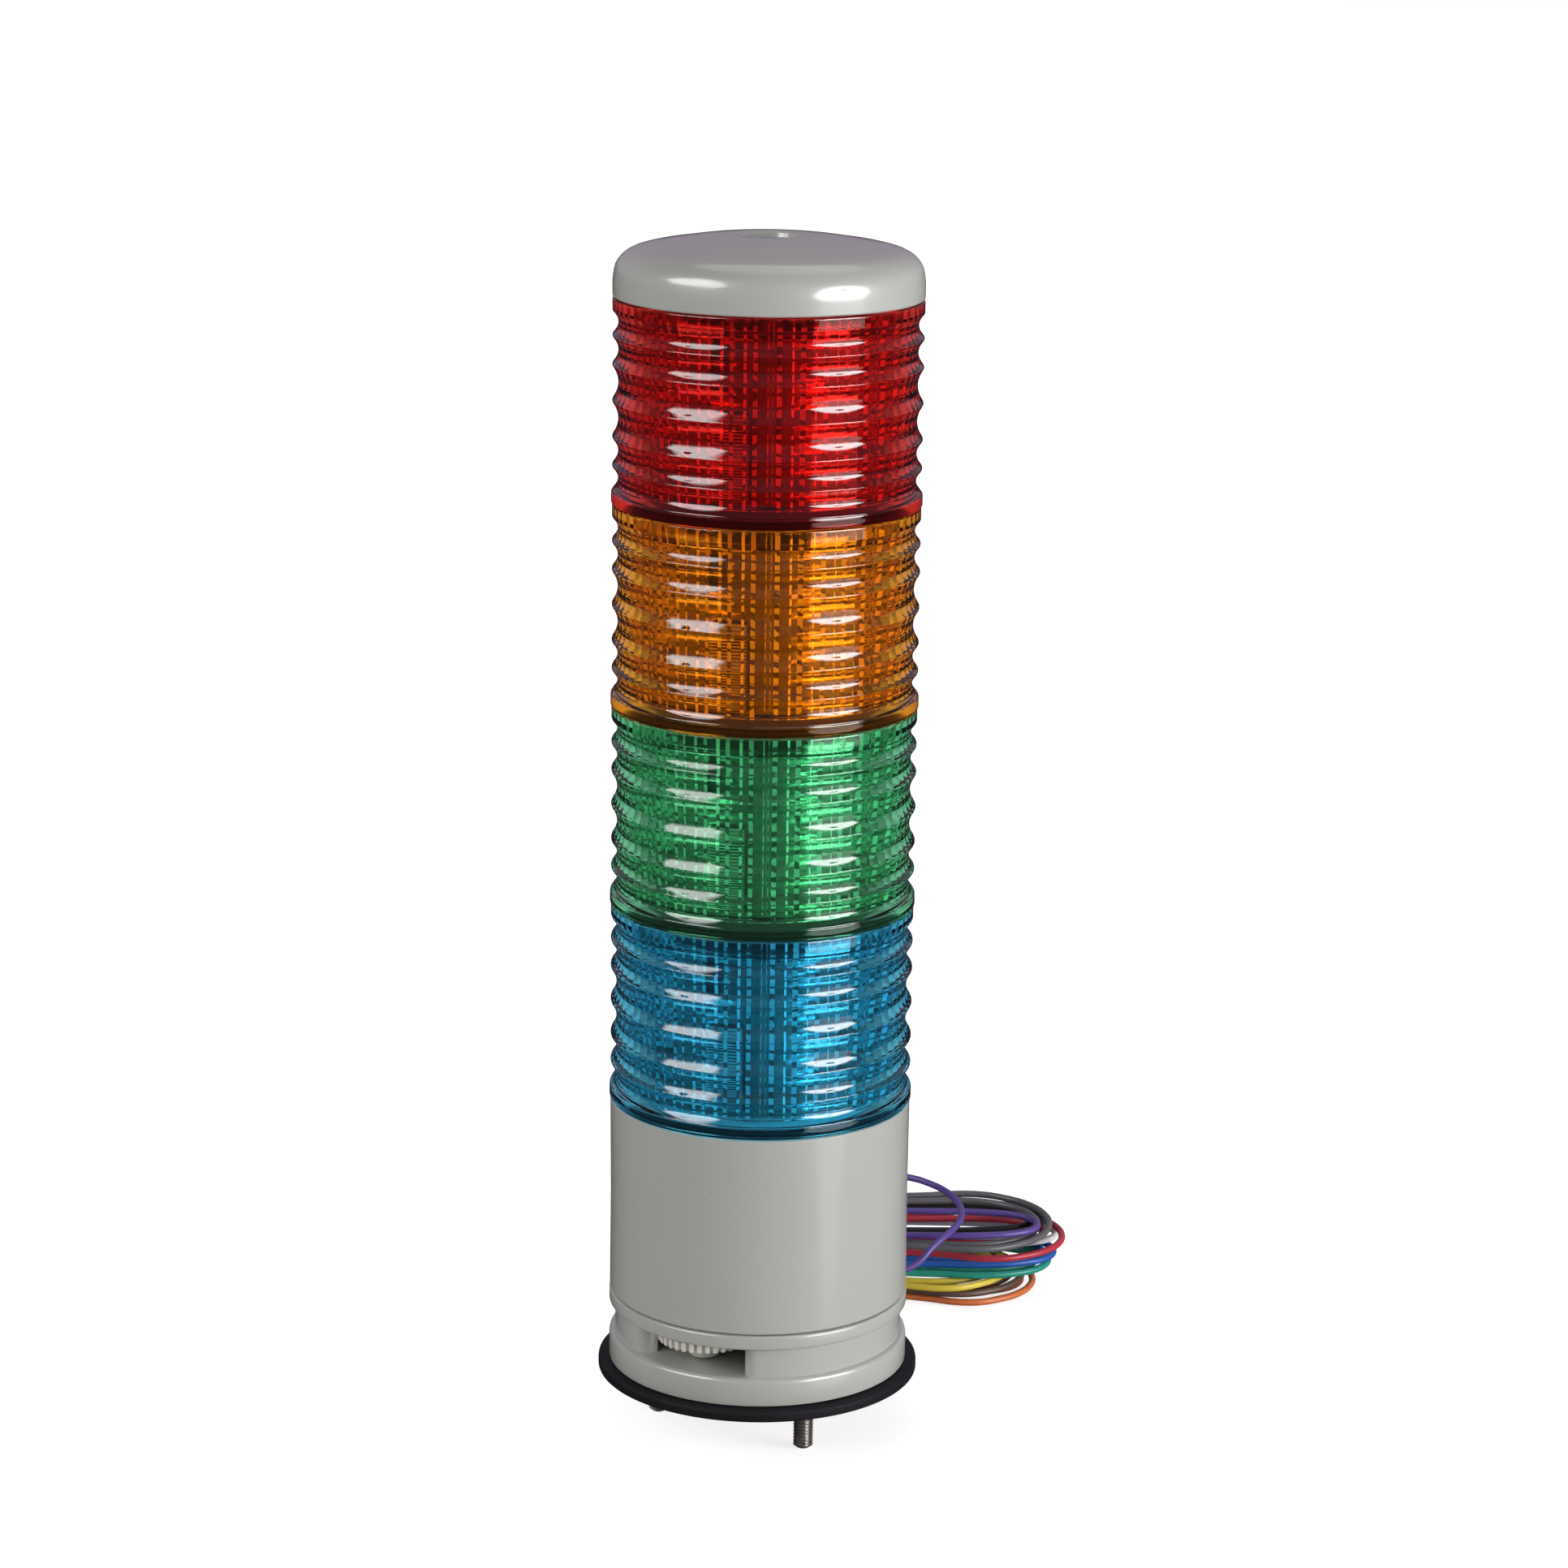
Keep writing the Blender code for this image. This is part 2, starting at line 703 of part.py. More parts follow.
def tie_rod():
    deck_z = housing_top - DECK_DROP - DECK_THICKNESS
    head_top = deck_z - GAP
    top = nut_z + NUT_HEIGHT * 2 / 3
    return turned("tie_rod", [
        (0, top),
        (ROD_RADIUS, top),
        (ROD_RADIUS, head_top),
        (ROD_HEAD_RADIUS, head_top),
        (ROD_HEAD_RADIUS, head_top - ROD_HEAD_HEIGHT),
        (0, head_top - ROD_HEAD_HEIGHT),
    ], STEEL, SMALL_STEPS, closed=False)


def top_cap():
    shoulder_in = BODY_RADIUS - CAP_SHOULDER
    rim = crown_height(shoulder_in)
    section = [(CAP_DISH_RADIUS, crown_height(CAP_DISH_RADIUS))]
    for share in CROWN_SHARES:
        radius = CAP_DISH_RADIUS + (shoulder_in - CAP_DISH_RADIUS) * share
        section.append((radius, crown_height(radius)))
    section.append((shoulder_in, rim))
    for share in SHOULDER_SHARES:
        turn = share * math.pi / 2
        section.append((shoulder_in + CAP_SHOULDER * math.sin(turn),
                        rim - CAP_SHOULDER * (1 - math.cos(turn))))
    section.append((BODY_RADIUS, rim - CAP_SHOULDER))
    section.append((BODY_RADIUS, 0))
    section.append((plate_radius + GAP, 0))
    seal_top = SEAL_THICKNESS + GAP
    section.append((plate_radius + GAP, seal_top))
    section.append((skirt_radius, seal_top))
    section.append((skirt_radius, -SKIRT_DEPTH))
    bore = skirt_radius - SKIRT_WALL
    section.append((bore, -SKIRT_DEPTH))
    section.append((bore, rim - CAP_SHOULDER))
    roof_radius = shoulder_in - CAP_WALL / 2
    section.append((roof_radius, crown_height(roof_radius) - CAP_WALL))
    section.append((CAP_BOSS_RADIUS, crown_height(CAP_BOSS_RADIUS) - CAP_WALL))
    well = cap_well_z - cap_z
    section.append((CAP_BOSS_RADIUS, well - CAP_BOSS_WALL))
    section.append((ROD_RADIUS + GAP, well - CAP_BOSS_WALL))
    section.append((ROD_RADIUS + GAP, well))
    section.append((CAP_WELL_RADIUS, well))
    section.append((CAP_WELL_RADIUS, CAP_HEIGHT - CAP_DISH_DEPTH))
    cap = turned("top_cap", section, PLASTIC)
    cap.location.z = cap_z
    return cap


def cap_washer():
    ring = turned("cap_washer", [
        (CAP_WELL_RADIUS - GAP, WASHER_THICKNESS),
        (CAP_WELL_RADIUS - GAP, 0),
        (ROD_RADIUS + GAP, 0),
        (ROD_RADIUS + GAP, WASHER_THICKNESS),
    ], STEEL, INNER_STEPS)
    ring.location.z = washer_z
    return ring


def cap_nut():
    points = []
    for tooth in range(NUT_TEETH):
        points.append(polar(NUT_RADIUS, 360 * tooth / NUT_TEETH))
        points.append(polar(NUT_RADIUS - NUT_TOOTH, 360 * (tooth + 1 / 2) / NUT_TEETH))
    nut = outline("cap_nut", points, NUT_HEIGHT, nut_z, STEEL)
    bore = cylinder_mesh("nut_bore", ROD_RADIUS + GAP, -NUT_HEIGHT, NUT_HEIGHT)
    helper = cutter("nut_bore", bore)
    helper.parent = nut
    combine(nut, helper, "DIFFERENCE")
    return bake_in_place(nut)


# Leads: each has a free stretch from the grommet and a coil in its own layer


def layer_height(index):
    return LEAD_RADIUS + FLOOR_CLEARANCE + index * LAYER_PITCH


def ease(value):
    """A smooth step from 0 to 1."""
    value = min(1, max(0, value))
    return value * value * (3 - 2 * value)


def loop_point(lead, index, angle):
    """A point of a lead's coil. Each loop is gathered left and flares right."""
    first, last = lead[4:6]
    turned_by = (angle + math.pi / 2) / (2 * math.pi)
    start, end = RING_BLEND_SHARES if flared_wider(first, last) else LOOP_BLEND_SHARES
    change = ease((turned_by - start) / (end - start))
    reach, centre_y, flared, gathered = (
        a + (b - a) * change for a, b in zip(first, last))
    straight = math.tanh(LOOP_STRAIGHTNESS * math.cos(angle)) / math.tanh(LOOP_STRAIGHTNESS)
    end_radius = gathered + (flared - gathered) * (1 + straight) / 2
    x = HANK_CENTRE_X + (reach - end_radius) * straight + end_radius * math.cos(angle)
    flare_end = HANK_CENTRE_X + reach - FLARE_BACK
    flare = ease((x - flare_end) / FLARE_LENGTH + 1)
    across = gathered + (flared - gathered) * flare
    y = centre_y + across * math.sin(angle)
    z = layer_height(index)
    if flared_wider(first, last):
        over = ease((RING_EDGE_Y - y) / RING_DROOP_LENGTH)
        tilt = RING_TILT_SHARE * (y - centre_y)
        z += (RING_RISE + tilt - RING_DROOP * over) * change
    return Vector((x, y, z))


def flared_wider(first, last):
    """Whether the last loop is wider, so it lies on the first and over its edge."""
    return last[2] > first[2]


def coil_points(lead, index):
    """The coil's turns, from its near side round to its bare end."""
    turns = lead[6]
    start = loop_point(lead, index, -math.pi / 2)
    count = round(turns * LOOP_POINTS)
    points = [start, start + Vector((2 * LEAD_RADIUS, 0, 0))]
    for i in range(1, count + 1):
        points.append(loop_point(lead, index, -math.pi / 2 + 2 * math.pi * i / LOOP_POINTS))
    return points


def route_points(lead, index):
    """A lead's free stretch: down, back under the base and up to its layer."""
    lane, row = lead[2:4]
    x = (lane - 2) * LEAD_PITCH
    y = (row - 1 / 2) * LEAD_PITCH
    row_z = layer_height(0) + row * LEAD_PITCH
    radius = BEND_RADIUS - row * LEAD_PITCH
    top = foot_z - GROMMET_DROP - GAP
    points = [Vector((x, y, top))]
    bend_shares = (0.0, 0.5, 1.0)
    for share in bend_shares:
        turn = share * math.pi / 2
        points.append(Vector((x, y + radius * (1 - math.cos(turn)),
                              row_z + radius * (1 - math.sin(turn)))))
    layer_z = layer_height(index)
    for lane_y, climb in zip(LEAD_LANE_Y, LEAD_CLIMB_SHARES):
        points.append(Vector((x, lane_y, row_z + (layer_z - row_z) * climb)))
    end = loop_point(lead, index, -math.pi / 2) - Vector((GAP, 0, 0))
    run_in = end - Vector((LEAD_RUN_IN, 0, 0))
    last_y = LEAD_LANE_Y[-1]
    for along, across in LEAD_TURN_SHARES:
        points.append(Vector((x + (run_in.x - x) * along,
                              last_y + (run_in.y - last_y) * across, layer_z)))
    points.append(run_in)
    points.append(end)
    return points


def smooth_curve(points, step):
    """Points about one step apart on a smooth curve through the route."""
    result = []
    last = len(points) - 1
    for i in range(last):
        p0 = points[i - 1] if i else points[0] * 2 - points[1]
        p1, p2 = points[i], points[i + 1]
        p3 = points[i + 2] if i + 2 <= last else p2 * 2 - p1
        chord = (p2 - p1).length
        m1 = (p2 - p0) * chord / ((p1 - p0).length + chord)
        m2 = (p3 - p1) * chord / ((p3 - p2).length + chord)
        count = max(1, round(chord / step))
        for k in range(count):
            t = k / count
            result.append(
                p1 * (2 * t**3 - 3 * t**2 + 1) + m1 * (t**3 - 2 * t**2 + t)
                + p2 * (3 * t**2 - 2 * t**3) + m2 * (t**3 - t**2)
            )
    result.append(points[last])
    return result


def tube(name, points, sides, spec):
    curve = bpy.data.curves.new(name, "CURVE")
    curve.dimensions = "3D"
    curve.bevel_depth = LEAD_RADIUS
    curve.bevel_resolution = sides
    curve.use_fill_caps = True
    spline = curve.splines.new("POLY")
    spline.points.add(len(points) - 1)
    for i, point in enumerate(points):
        spline.points[i].co = (*point, 1)
    return add_object(name, curve, spec)


def segment_gap(a, b, c, d):
    """The least distance between two straight segments."""
    u, v, w = b - a, d - c, a - c
    uu, uv, vv, uw, vw = u.dot(u), u.dot(v), v.dot(v), u.dot(w), v.dot(w)
    spread = uu * vv - uv * uv
    s = min(1, max(0, (uv * vw - vv * uw) / spread)) if spread > 0 else 0
    t = min(1, max(0, (uv * s + vw) / vv))
    s = min(1, max(0, (uv * t - uw) / uu))
    return (w + u * s - v * t).length


def least_gap(points):
    """How near a tube comes to itself, past two turns' worth of its bends."""
    best = math.inf
    skip = LOOP_POINTS // 2
    for i in range(len(points) - 1):
        for j in range(i + skip, len(points) - 1):
            gap = segment_gap(points[i], points[i + 1], points[j], points[j + 1])
            best = min(best, gap - 2 * LEAD_RADIUS)
    return best


def curve_length(points):
    return sum((b - a).length for a, b in zip(points, points[1:]))


def leads():
    for index, lead in enumerate(LEADS):
        name, colour = lead[:2]
        spec = (f"lead_{name}", colour, 0.42, 0.0)
        route = smooth_curve(route_points(lead, index), LEAD_STEP)
        coil = coil_points(lead, index)
        tube(f"lead_{name}", route, 1, spec)
        tube(f"coil_{name}", coil, 1, spec)
        length = curve_length(route) + curve_length(coil)
        print(f"lead {name}: length {length:.4f} m, "
              f"least gap to itself {least_gap(coil) * 1000:.2f} mm")


def build():
    clear_scene()
    for name, degrees in zip(("front", "rear", "side"), STUD_ANGLES_DEG):
        mounting_stud(f"mounting_stud_{name}", degrees)
    gasket()
    base_foot()
    lead_grommet()
    volume_wheel()
    volume_pot()
    control_board()
    sounder()
    base_housing()
    for i, (name, colour) in enumerate(TIERS):
        z = tier_z + i * TIER_PITCH
        seal(f"seal_{name}", z)
        tier_plate(f"tier_plate_{name}", z)
        lens(name, colour, z)
        prism(f"prism_{name}", z)
        led_board(f"led_board_{name}", z)
        reflector(f"reflector_{name}", z)
    seal("seal_cap", cap_z)
    tie_rod()
    top_cap()
    cap_washer()
    cap_nut()
    leads()


build()
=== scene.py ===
import math

import bpy
from mathutils import Matrix, Vector


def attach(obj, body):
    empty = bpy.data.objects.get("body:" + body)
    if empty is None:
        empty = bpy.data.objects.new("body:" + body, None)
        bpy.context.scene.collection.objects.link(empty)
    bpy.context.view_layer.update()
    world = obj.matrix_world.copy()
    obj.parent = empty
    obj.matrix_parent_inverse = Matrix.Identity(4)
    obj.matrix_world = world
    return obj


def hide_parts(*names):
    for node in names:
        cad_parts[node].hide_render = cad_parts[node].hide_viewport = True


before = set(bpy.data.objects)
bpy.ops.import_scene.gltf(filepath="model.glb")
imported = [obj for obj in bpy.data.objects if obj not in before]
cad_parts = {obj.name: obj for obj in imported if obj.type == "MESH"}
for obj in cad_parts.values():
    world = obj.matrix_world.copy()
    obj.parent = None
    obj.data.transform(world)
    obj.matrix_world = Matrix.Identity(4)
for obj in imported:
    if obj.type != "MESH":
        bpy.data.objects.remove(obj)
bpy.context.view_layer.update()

mm = 0.001
# vertices closer than this are one
weld = 1e-6
# of the small round at a section's corner
cornerSteps = 3
tower = "tower"


# Camera, at the photograph's place

cameraSettings = {
    "lens": 98.33,
    "sensor": 36.0,
    "place": (0.0, -0.81832, 0.33749),
    "pitch": 0.245522,
    "roll": 0.0125615,
    "yaw": 0.0049188,
    "clip": (0.01, 50),
}


def makeCamera(settings):
    pitch, roll, yaw = settings["pitch"], settings["roll"], settings["yaw"]
    forward = Vector((math.sin(yaw) * math.cos(pitch),
                      math.cos(yaw) * math.cos(pitch), -math.sin(pitch)))
    level = Vector((math.cos(yaw), -math.sin(yaw), 0))
    upright = level.cross(forward)
    right = level * math.cos(roll) + upright * math.sin(roll)
    up = upright * math.cos(roll) - level * math.sin(roll)
    bpy.ops.object.camera_add(location=settings["place"])
    camera = bpy.context.object
    camera.name = "photoCamera"
    camera.data.sensor_width = settings["sensor"]
    camera.data.lens = settings["lens"]
    camera.data.clip_start, camera.data.clip_end = settings["clip"]
    turn = Matrix((right, up, -forward)).transposed().to_4x4()
    camera.matrix_world = Matrix.Translation(settings["place"]) @ turn
    bpy.context.scene.camera = camera
    print("camera placed")


makeCamera(cameraSettings)
bpy.context.scene.view_settings.view_transform = "Standard"


# Modelling helpers: everything is drawn in edit mode, at its own place

def deselectAll():
    if bpy.context.mode != "OBJECT":
        bpy.ops.object.mode_set(mode="OBJECT")
    bpy.ops.object.select_all(action="DESELECT")


# One vertex at a place, in edit mode, to draw a line from.
def startPoint(name, place):
    deselectAll()
    bpy.ops.mesh.primitive_plane_add(size=1 * mm, location=place)
    piece = bpy.context.object
    piece.name = name
    bpy.ops.object.mode_set(mode="EDIT")
    bpy.ops.mesh.merge(type="CENTER")
    return piece


# Extrudes the selected vertex along a line of points.
def drawLine(points):
    for a, b in zip(points, points[1:]):
        step = Vector(b) - Vector(a)
        bpy.ops.mesh.extrude_vertices_move(TRANSFORM_OT_translate={"value": step})


def selectOnly(*pieces):
    deselectAll()
    for piece in pieces:
        piece.select_set(True)
    bpy.context.view_layer.objects.active = pieces[0]


def applyPlace():
    bpy.ops.object.transform_apply(location=True, rotation=True, scale=True)


# Merges, turns the faces outwards, smooths and applies the place.
def finishPiece(piece, smoothAngle=40):
    if bpy.context.mode != "EDIT_MESH":
        bpy.ops.object.mode_set(mode="EDIT")
    bpy.ops.mesh.select_all(action="SELECT")
    bpy.ops.mesh.remove_doubles(threshold=weld)
    bpy.ops.mesh.normals_make_consistent(inside=False)
    bpy.ops.object.mode_set(mode="OBJECT")
    applyPlace()
    bpy.ops.object.shade_smooth_by_angle(angle=math.radians(smoothAngle))
    return piece


# A turned piece: its section in (radius, height) spun about an axis.
def turnPiece(name, section, steps=128, closed=True, centre=(0, 0), smoothAngle=40):
    x, y = centre
    points = [(x + r, y, z) for r, z in section]
    if closed:
        points.append(points[0])
    piece = startPoint(name, points[0])
    drawLine(points)
    bpy.ops.mesh.select_all(action="SELECT")
    bpy.ops.mesh.spin(steps=steps, angle=2 * math.pi, center=(x, y, 0), axis=(0, 0, 1))
    return finishPiece(piece, smoothAngle)


# A flat outline in (x, y), filled and raised from low to high.
def outlinePiece(name, outline, low, high, smoothAngle=40):
    points = [(x, y, low) for x, y in outline]
    piece = startPoint(name, points[0])
    drawLine(points + points[:1])
    bpy.ops.mesh.select_all(action="SELECT")
    bpy.ops.mesh.remove_doubles(threshold=weld)
    bpy.ops.mesh.edge_face_add()
    bpy.ops.mesh.extrude_region_move(TRANSFORM_OT_translate={"value": (0, 0, high - low)})
    return finishPiece(piece, smoothAngle)


# A plain box in mm, to be shaped further or cut with.
def boxPiece(name, centre, size):
    deselectAll()
    bpy.ops.mesh.primitive_cube_add(size=1, location=Vector(centre) * mm,
                                    scale=Vector(size) * mm)
    piece = bpy.context.object
    piece.name = name
    applyPlace()
    return piece


# A copy with its own mesh, moved or turned, with its place applied.
def copyPiece(piece, name, shift=(0, 0, 0), turnDeg=0):
    copy = piece.copy()
    copy.data = piece.data.copy()
    copy.name = name
    bpy.context.collection.objects.link(copy)
    turn = Matrix.Rotation(math.radians(turnDeg), 4, "Z")
    copy.matrix_world = Matrix.Translation(shift) @ turn
    selectOnly(copy)
    applyPlace()
    return copy


def joinPieces(name, pieces):
    selectOnly(*pieces)
    bpy.ops.object.join()
    pieces[0].name = name
    return pieces[0]


# Cuts one piece with another by a Boolean that is applied.
def cutPiece(piece, cutter, operation="DIFFERENCE"):
    selectOnly(piece)
    cut = piece.modifiers.new("cut", "BOOLEAN")
    cut.operation = operation
    cut.solver = "EXACT"
    cut.object = cutter
    bpy.ops.object.modifier_apply(modifier=cut.name)
    bpy.data.objects.remove(cutter)


# Cuts an upright round hole from low to high.
def cutHole(piece, radius, low, high, sides, centre=(0, 0)):
    deselectAll()
    bpy.ops.mesh.primitive_cylinder_add(
        vertices=sides, radius=radius * mm, depth=(high - low) * mm,
        location=(*centre, (low + high) / 2 * mm))
    cutPiece(piece, bpy.context.object)


# Rounds the edges that turn by more than an angle.
def bevelPiece(piece, width, segments, angle):
    selectOnly(piece)
    bevel = piece.modifiers.new("edge", "BEVEL")
    bevel.width = width * mm
    bevel.segments = segments
    bevel.limit_method = "ANGLE"
    bevel.angle_limit = math.radians(angle)
    bpy.ops.object.modifier_apply(modifier=bevel.name)


# A copy of a section, lifted.
def lifted(corners, lift):
    return [(r, z + lift, radius) for r, z, radius in corners]


# Gives a finished piece its material and body, and hides its CAD nodes.
def dress(piece, material, nodes=(), body=tower):
    if material:
        piece.data.materials.clear()
        piece.data.materials.append(material)
    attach(piece, body)
    if nodes:
        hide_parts(*nodes)
    return piece


def polar(radius, degrees, centre=(0, 0)):
    angle = math.radians(degrees)
    return centre[0] + radius * math.cos(angle), centre[1] + radius * math.sin(angle)


# Points of a small round at a corner of a section.
def roundedCorner(corner, before, after, radius):
    corner, before, after = Vector(corner), Vector(before), Vector(after)
    start = corner + (before - corner).normalized() * radius
    end = corner + (after - corner).normalized() * radius
    points = []
    for i in range(cornerSteps + 1):
        t = i / cornerSteps
        point = start * (1 - t) ** 2 + corner * 2 * t * (1 - t) + end * t * t
        points.append(tuple(point))
    return points


# A closed section whose corners (r, z, round) are rounded, all in mm.
def softSection(corners):
    section = []
    count = len(corners)
    for i, (r, z, radius) in enumerate(corners):
        if radius:
            before = corners[i - 1][:2]
            after = corners[(i + 1) % count][:2]
            section += roundedCorner((r, z), before, after, radius)
        else:
            section.append((r, z))
    return [(r * mm, z * mm) for r, z in section]


# Material helpers

def newMaterial(name):
    material = bpy.data.materials.new(name)
    material.use_nodes = True
    return material, material.node_tree.nodes["Principled BSDF"]


# A socket is linked, and anything else is set.
def setInputs(tree, node, inputs):
    for key, value in inputs.items():
        socket = node.inputs[key]
        if isinstance(value, bpy.types.NodeSocket):
            tree.links.new(value, socket)
        else:
            socket.default_value = value


def addNode(tree, kind, inputs=None, **settings):
    node = tree.nodes.new("ShaderNode" + kind)
    for key, value in settings.items():
        setattr(node, key, value)
    setInputs(tree, node, inputs or {})
    return node


def mathNode(tree, operation, *values):
    return addNode(tree, "Math", dict(enumerate(values)), operation=operation).outputs[0]


# Maps one range of a value to another.
def rangeNode(tree, value, before, after=(0.0, 1.0), **settings):
    return addNode(tree, "MapRange", {
        "Value": value, "From Min": before[0], "From Max": before[1],
        "To Min": after[0], "To Max": after[1]}, **settings).outputs[0]


def mixNode(tree, share, first, second):
    return addNode(tree, "MixRGB", {0: share, 1: first, 2: second}).outputs[0]


def noiseNode(tree, place, scale, detail):
    return addNode(tree, "TexNoise", {"Vector": place, "Scale": scale,
                                      "Detail": detail}).outputs["Fac"]


# A shader node group with named sockets; kinds are Float or Color.
def makeGroup(name, inputs, outputs):
    group = bpy.data.node_groups.new(name, "ShaderNodeTree")
    for key, kind, value in inputs:
        socket = group.interface.new_socket(key, in_out="INPUT",
                                            socket_type="NodeSocket" + kind)
        socket.default_value = value
    for key, kind in outputs:
        group.interface.new_socket(key, in_out="OUTPUT", socket_type="NodeSocket" + kind)
    return group, group.nodes.new("NodeGroupInput"), group.nodes.new("NodeGroupOutput")


def useGroup(material, group, **values):
    node = material.node_tree.nodes.new("ShaderNodeGroup")
    node.node_tree = group
    setInputs(material.node_tree, node, values)
    return node


def rgba(colour, share=1.0):
    return (*(channel * share for channel in colour), 1.0)


# Noise scales are in turns for each metre.
skinSettings = {
    "cloudScale": 45.0,
    "speckScale": 520.0,
    "speckWarpScale": 900.0,
    "speckWarp": 0.35,
    "speckEdge": (0.20, 0.28),
    "patchScale": 110.0,
    "patchEdge": (0.60, 0.66),
    "smearScale": 70.0,
    "smearHeight": 0.3,
    "coatRoughness": 0.08,
    "bumpDistance": 0.1,
}


# Moulded plastic: faint clouding, fine grain and a few specks.
def makeSkinGroup(s):
    group, inn, out = makeGroup("mouldedSkin", [
        ("Colour", "Color", (0.5, 0.5, 0.5, 1)),
        ("Clouding", "Float", 0.05),
        ("Specks", "Float", 0.5),
        ("SpeckColour", "Color", (0.1, 0.09, 0.08, 1)),
        ("Roughness", "Float", 0.35),
        ("Smear", "Float", 0.16),
        ("GrainSize", "Float", 2500.0),
    ], [("Colour", "Color"), ("Roughness", "Float"), ("Height", "Float")])
    place = addNode(group, "TexCoord").outputs["Object"]
    clouds = noiseNode(group, place, s["cloudScale"], 3.0)
    swing = mathNode(group, "SUBTRACT", clouds, 0.5)
    gain = mathNode(group, "MULTIPLY_ADD", swing, inn.outputs["Clouding"], 1.0)
    tone = addNode(group, "VectorMath", {0: inn.outputs["Colour"], "Scale": gain},
                   operation="SCALE").outputs[0]
    specks = addNode(group, "TexVoronoi", {"Vector": place, "Scale": s["speckScale"]})
    warp = noiseNode(group, place, s["speckWarpScale"], 2.0)
    reach = mathNode(group, "MULTIPLY_ADD", warp, s["speckWarp"],
                     specks.outputs["Distance"])
    dots = rangeNode(group, reach, s["speckEdge"], (1.0, 0.0))
    some = rangeNode(group, noiseNode(group, place, s["patchScale"], 0.0), s["patchEdge"])
    few = mathNode(group, "MULTIPLY", dots, some)
    amount = mathNode(group, "MULTIPLY", few, inn.outputs["Specks"])
    mixed = mixNode(group, amount, tone, inn.outputs["SpeckColour"])
    grain = noiseNode(group, place, inn.outputs["GrainSize"], 2.0)
    smear = noiseNode(group, place, s["smearScale"], 4.0)
    swing = mathNode(group, "SUBTRACT", smear, 0.5)
    rough = mathNode(group, "MULTIPLY_ADD", swing, inn.outputs["Smear"],
                     inn.outputs["Roughness"])
    height = mathNode(group, "MULTIPLY_ADD", smear, s["smearHeight"], grain)
    setInputs(group, out, {"Colour": mixed, "Roughness": rough, "Height": height})
    return group


skinGroup = makeSkinGroup(skinSettings)


def addBump(material, shader, height, strength, distance):
    bump = addNode(material.node_tree, "Bump", {"Strength": strength, "Distance": distance,
                                                "Height": height})
    setInputs(material.node_tree, shader, {"Normal": bump.outputs["Normal"]})


def mouldedPlastic(name, colour, roughness, clouding=0.05, specks=0.5, bump=0.05,
                   speckColour=(0.12, 0.11, 0.10), metallic=0.0, specular=0.5,
                   smear=0.16, coat=0.0):
    material, shader = newMaterial(name)
    skin = useGroup(material, skinGroup, Colour=rgba(colour), Clouding=clouding,
                    Specks=specks, SpeckColour=rgba(speckColour), Roughness=roughness,
                    Smear=smear)
    setInputs(material.node_tree, shader, {
        "Base Color": skin.outputs["Colour"], "Roughness": skin.outputs["Roughness"],
        "Metallic": metallic, "Specular IOR Level": specular, "Coat Weight": coat,
        "Coat Roughness": skinSettings["coatRoughness"]})
    addBump(material, shader, skin.outputs["Height"], bump,
            skinSettings["bumpDistance"] * mm)
    return material


glassSettings = {
    "streakScale": 30.0,
    "streakRange": (0.3, 0.7),
    "streakShade": 0.94,
    "smearScale": 160.0,
    "smearRange": (0.35, 0.75),
    "roughness": (0.02, 0.05),
    # how far from facing the eye the colour deepens, and the powers of the tint
    # there and in the lamps' light
    "edgeRange": (0.35, 0.90),
    "edgePower": 1.7,
    "lampPower": 0.28,
}


# Clear plastic: glass to the eye, see-through to the lamps' own rays, and deeper in
# colour where the eye looks along its wall.
def glassMaterial(name, tint, ior):
    s = glassSettings
    material, shader = newMaterial(name)
    tree = material.node_tree
    place = addNode(tree, "TexCoord").outputs["Object"]
    streaks = rangeNode(tree, noiseNode(tree, place, s["streakScale"], 3.0),
                        s["streakRange"])
    mixed = mixNode(tree, streaks, rgba(tint), rgba(tint, s["streakShade"]))
    edge = addNode(tree, "LayerWeight", {"Blend": 0.5})
    along = rangeNode(tree, edge.outputs["Facing"], s["edgeRange"])
    deep = rgba([channel ** s["edgePower"] for channel in tint])
    smear = rangeNode(tree, noiseNode(tree, place, s["smearScale"], 3.0),
                      s["smearRange"], s["roughness"])
    setInputs(tree, shader, {"Base Color": mixNode(tree, along, mixed, deep),
                             "Roughness": smear, "IOR": ior, "Transmission Weight": 1.0})
    clear = addNode(tree, "BsdfTransparent", {
        "Color": rgba([channel ** s["lampPower"] for channel in tint])})
    lamps = addNode(tree, "LightPath")
    shared = addNode(tree, "MixShader", {0: lamps.outputs["Is Shadow Ray"],
                                         1: shader.outputs[0], 2: clear.outputs[0]})
    setInputs(tree, tree.nodes["Material Output"], {"Surface": shared.outputs[0]})
    return material


# Leads: ten PVC-insulated wires, each one curve from the grommet to its end

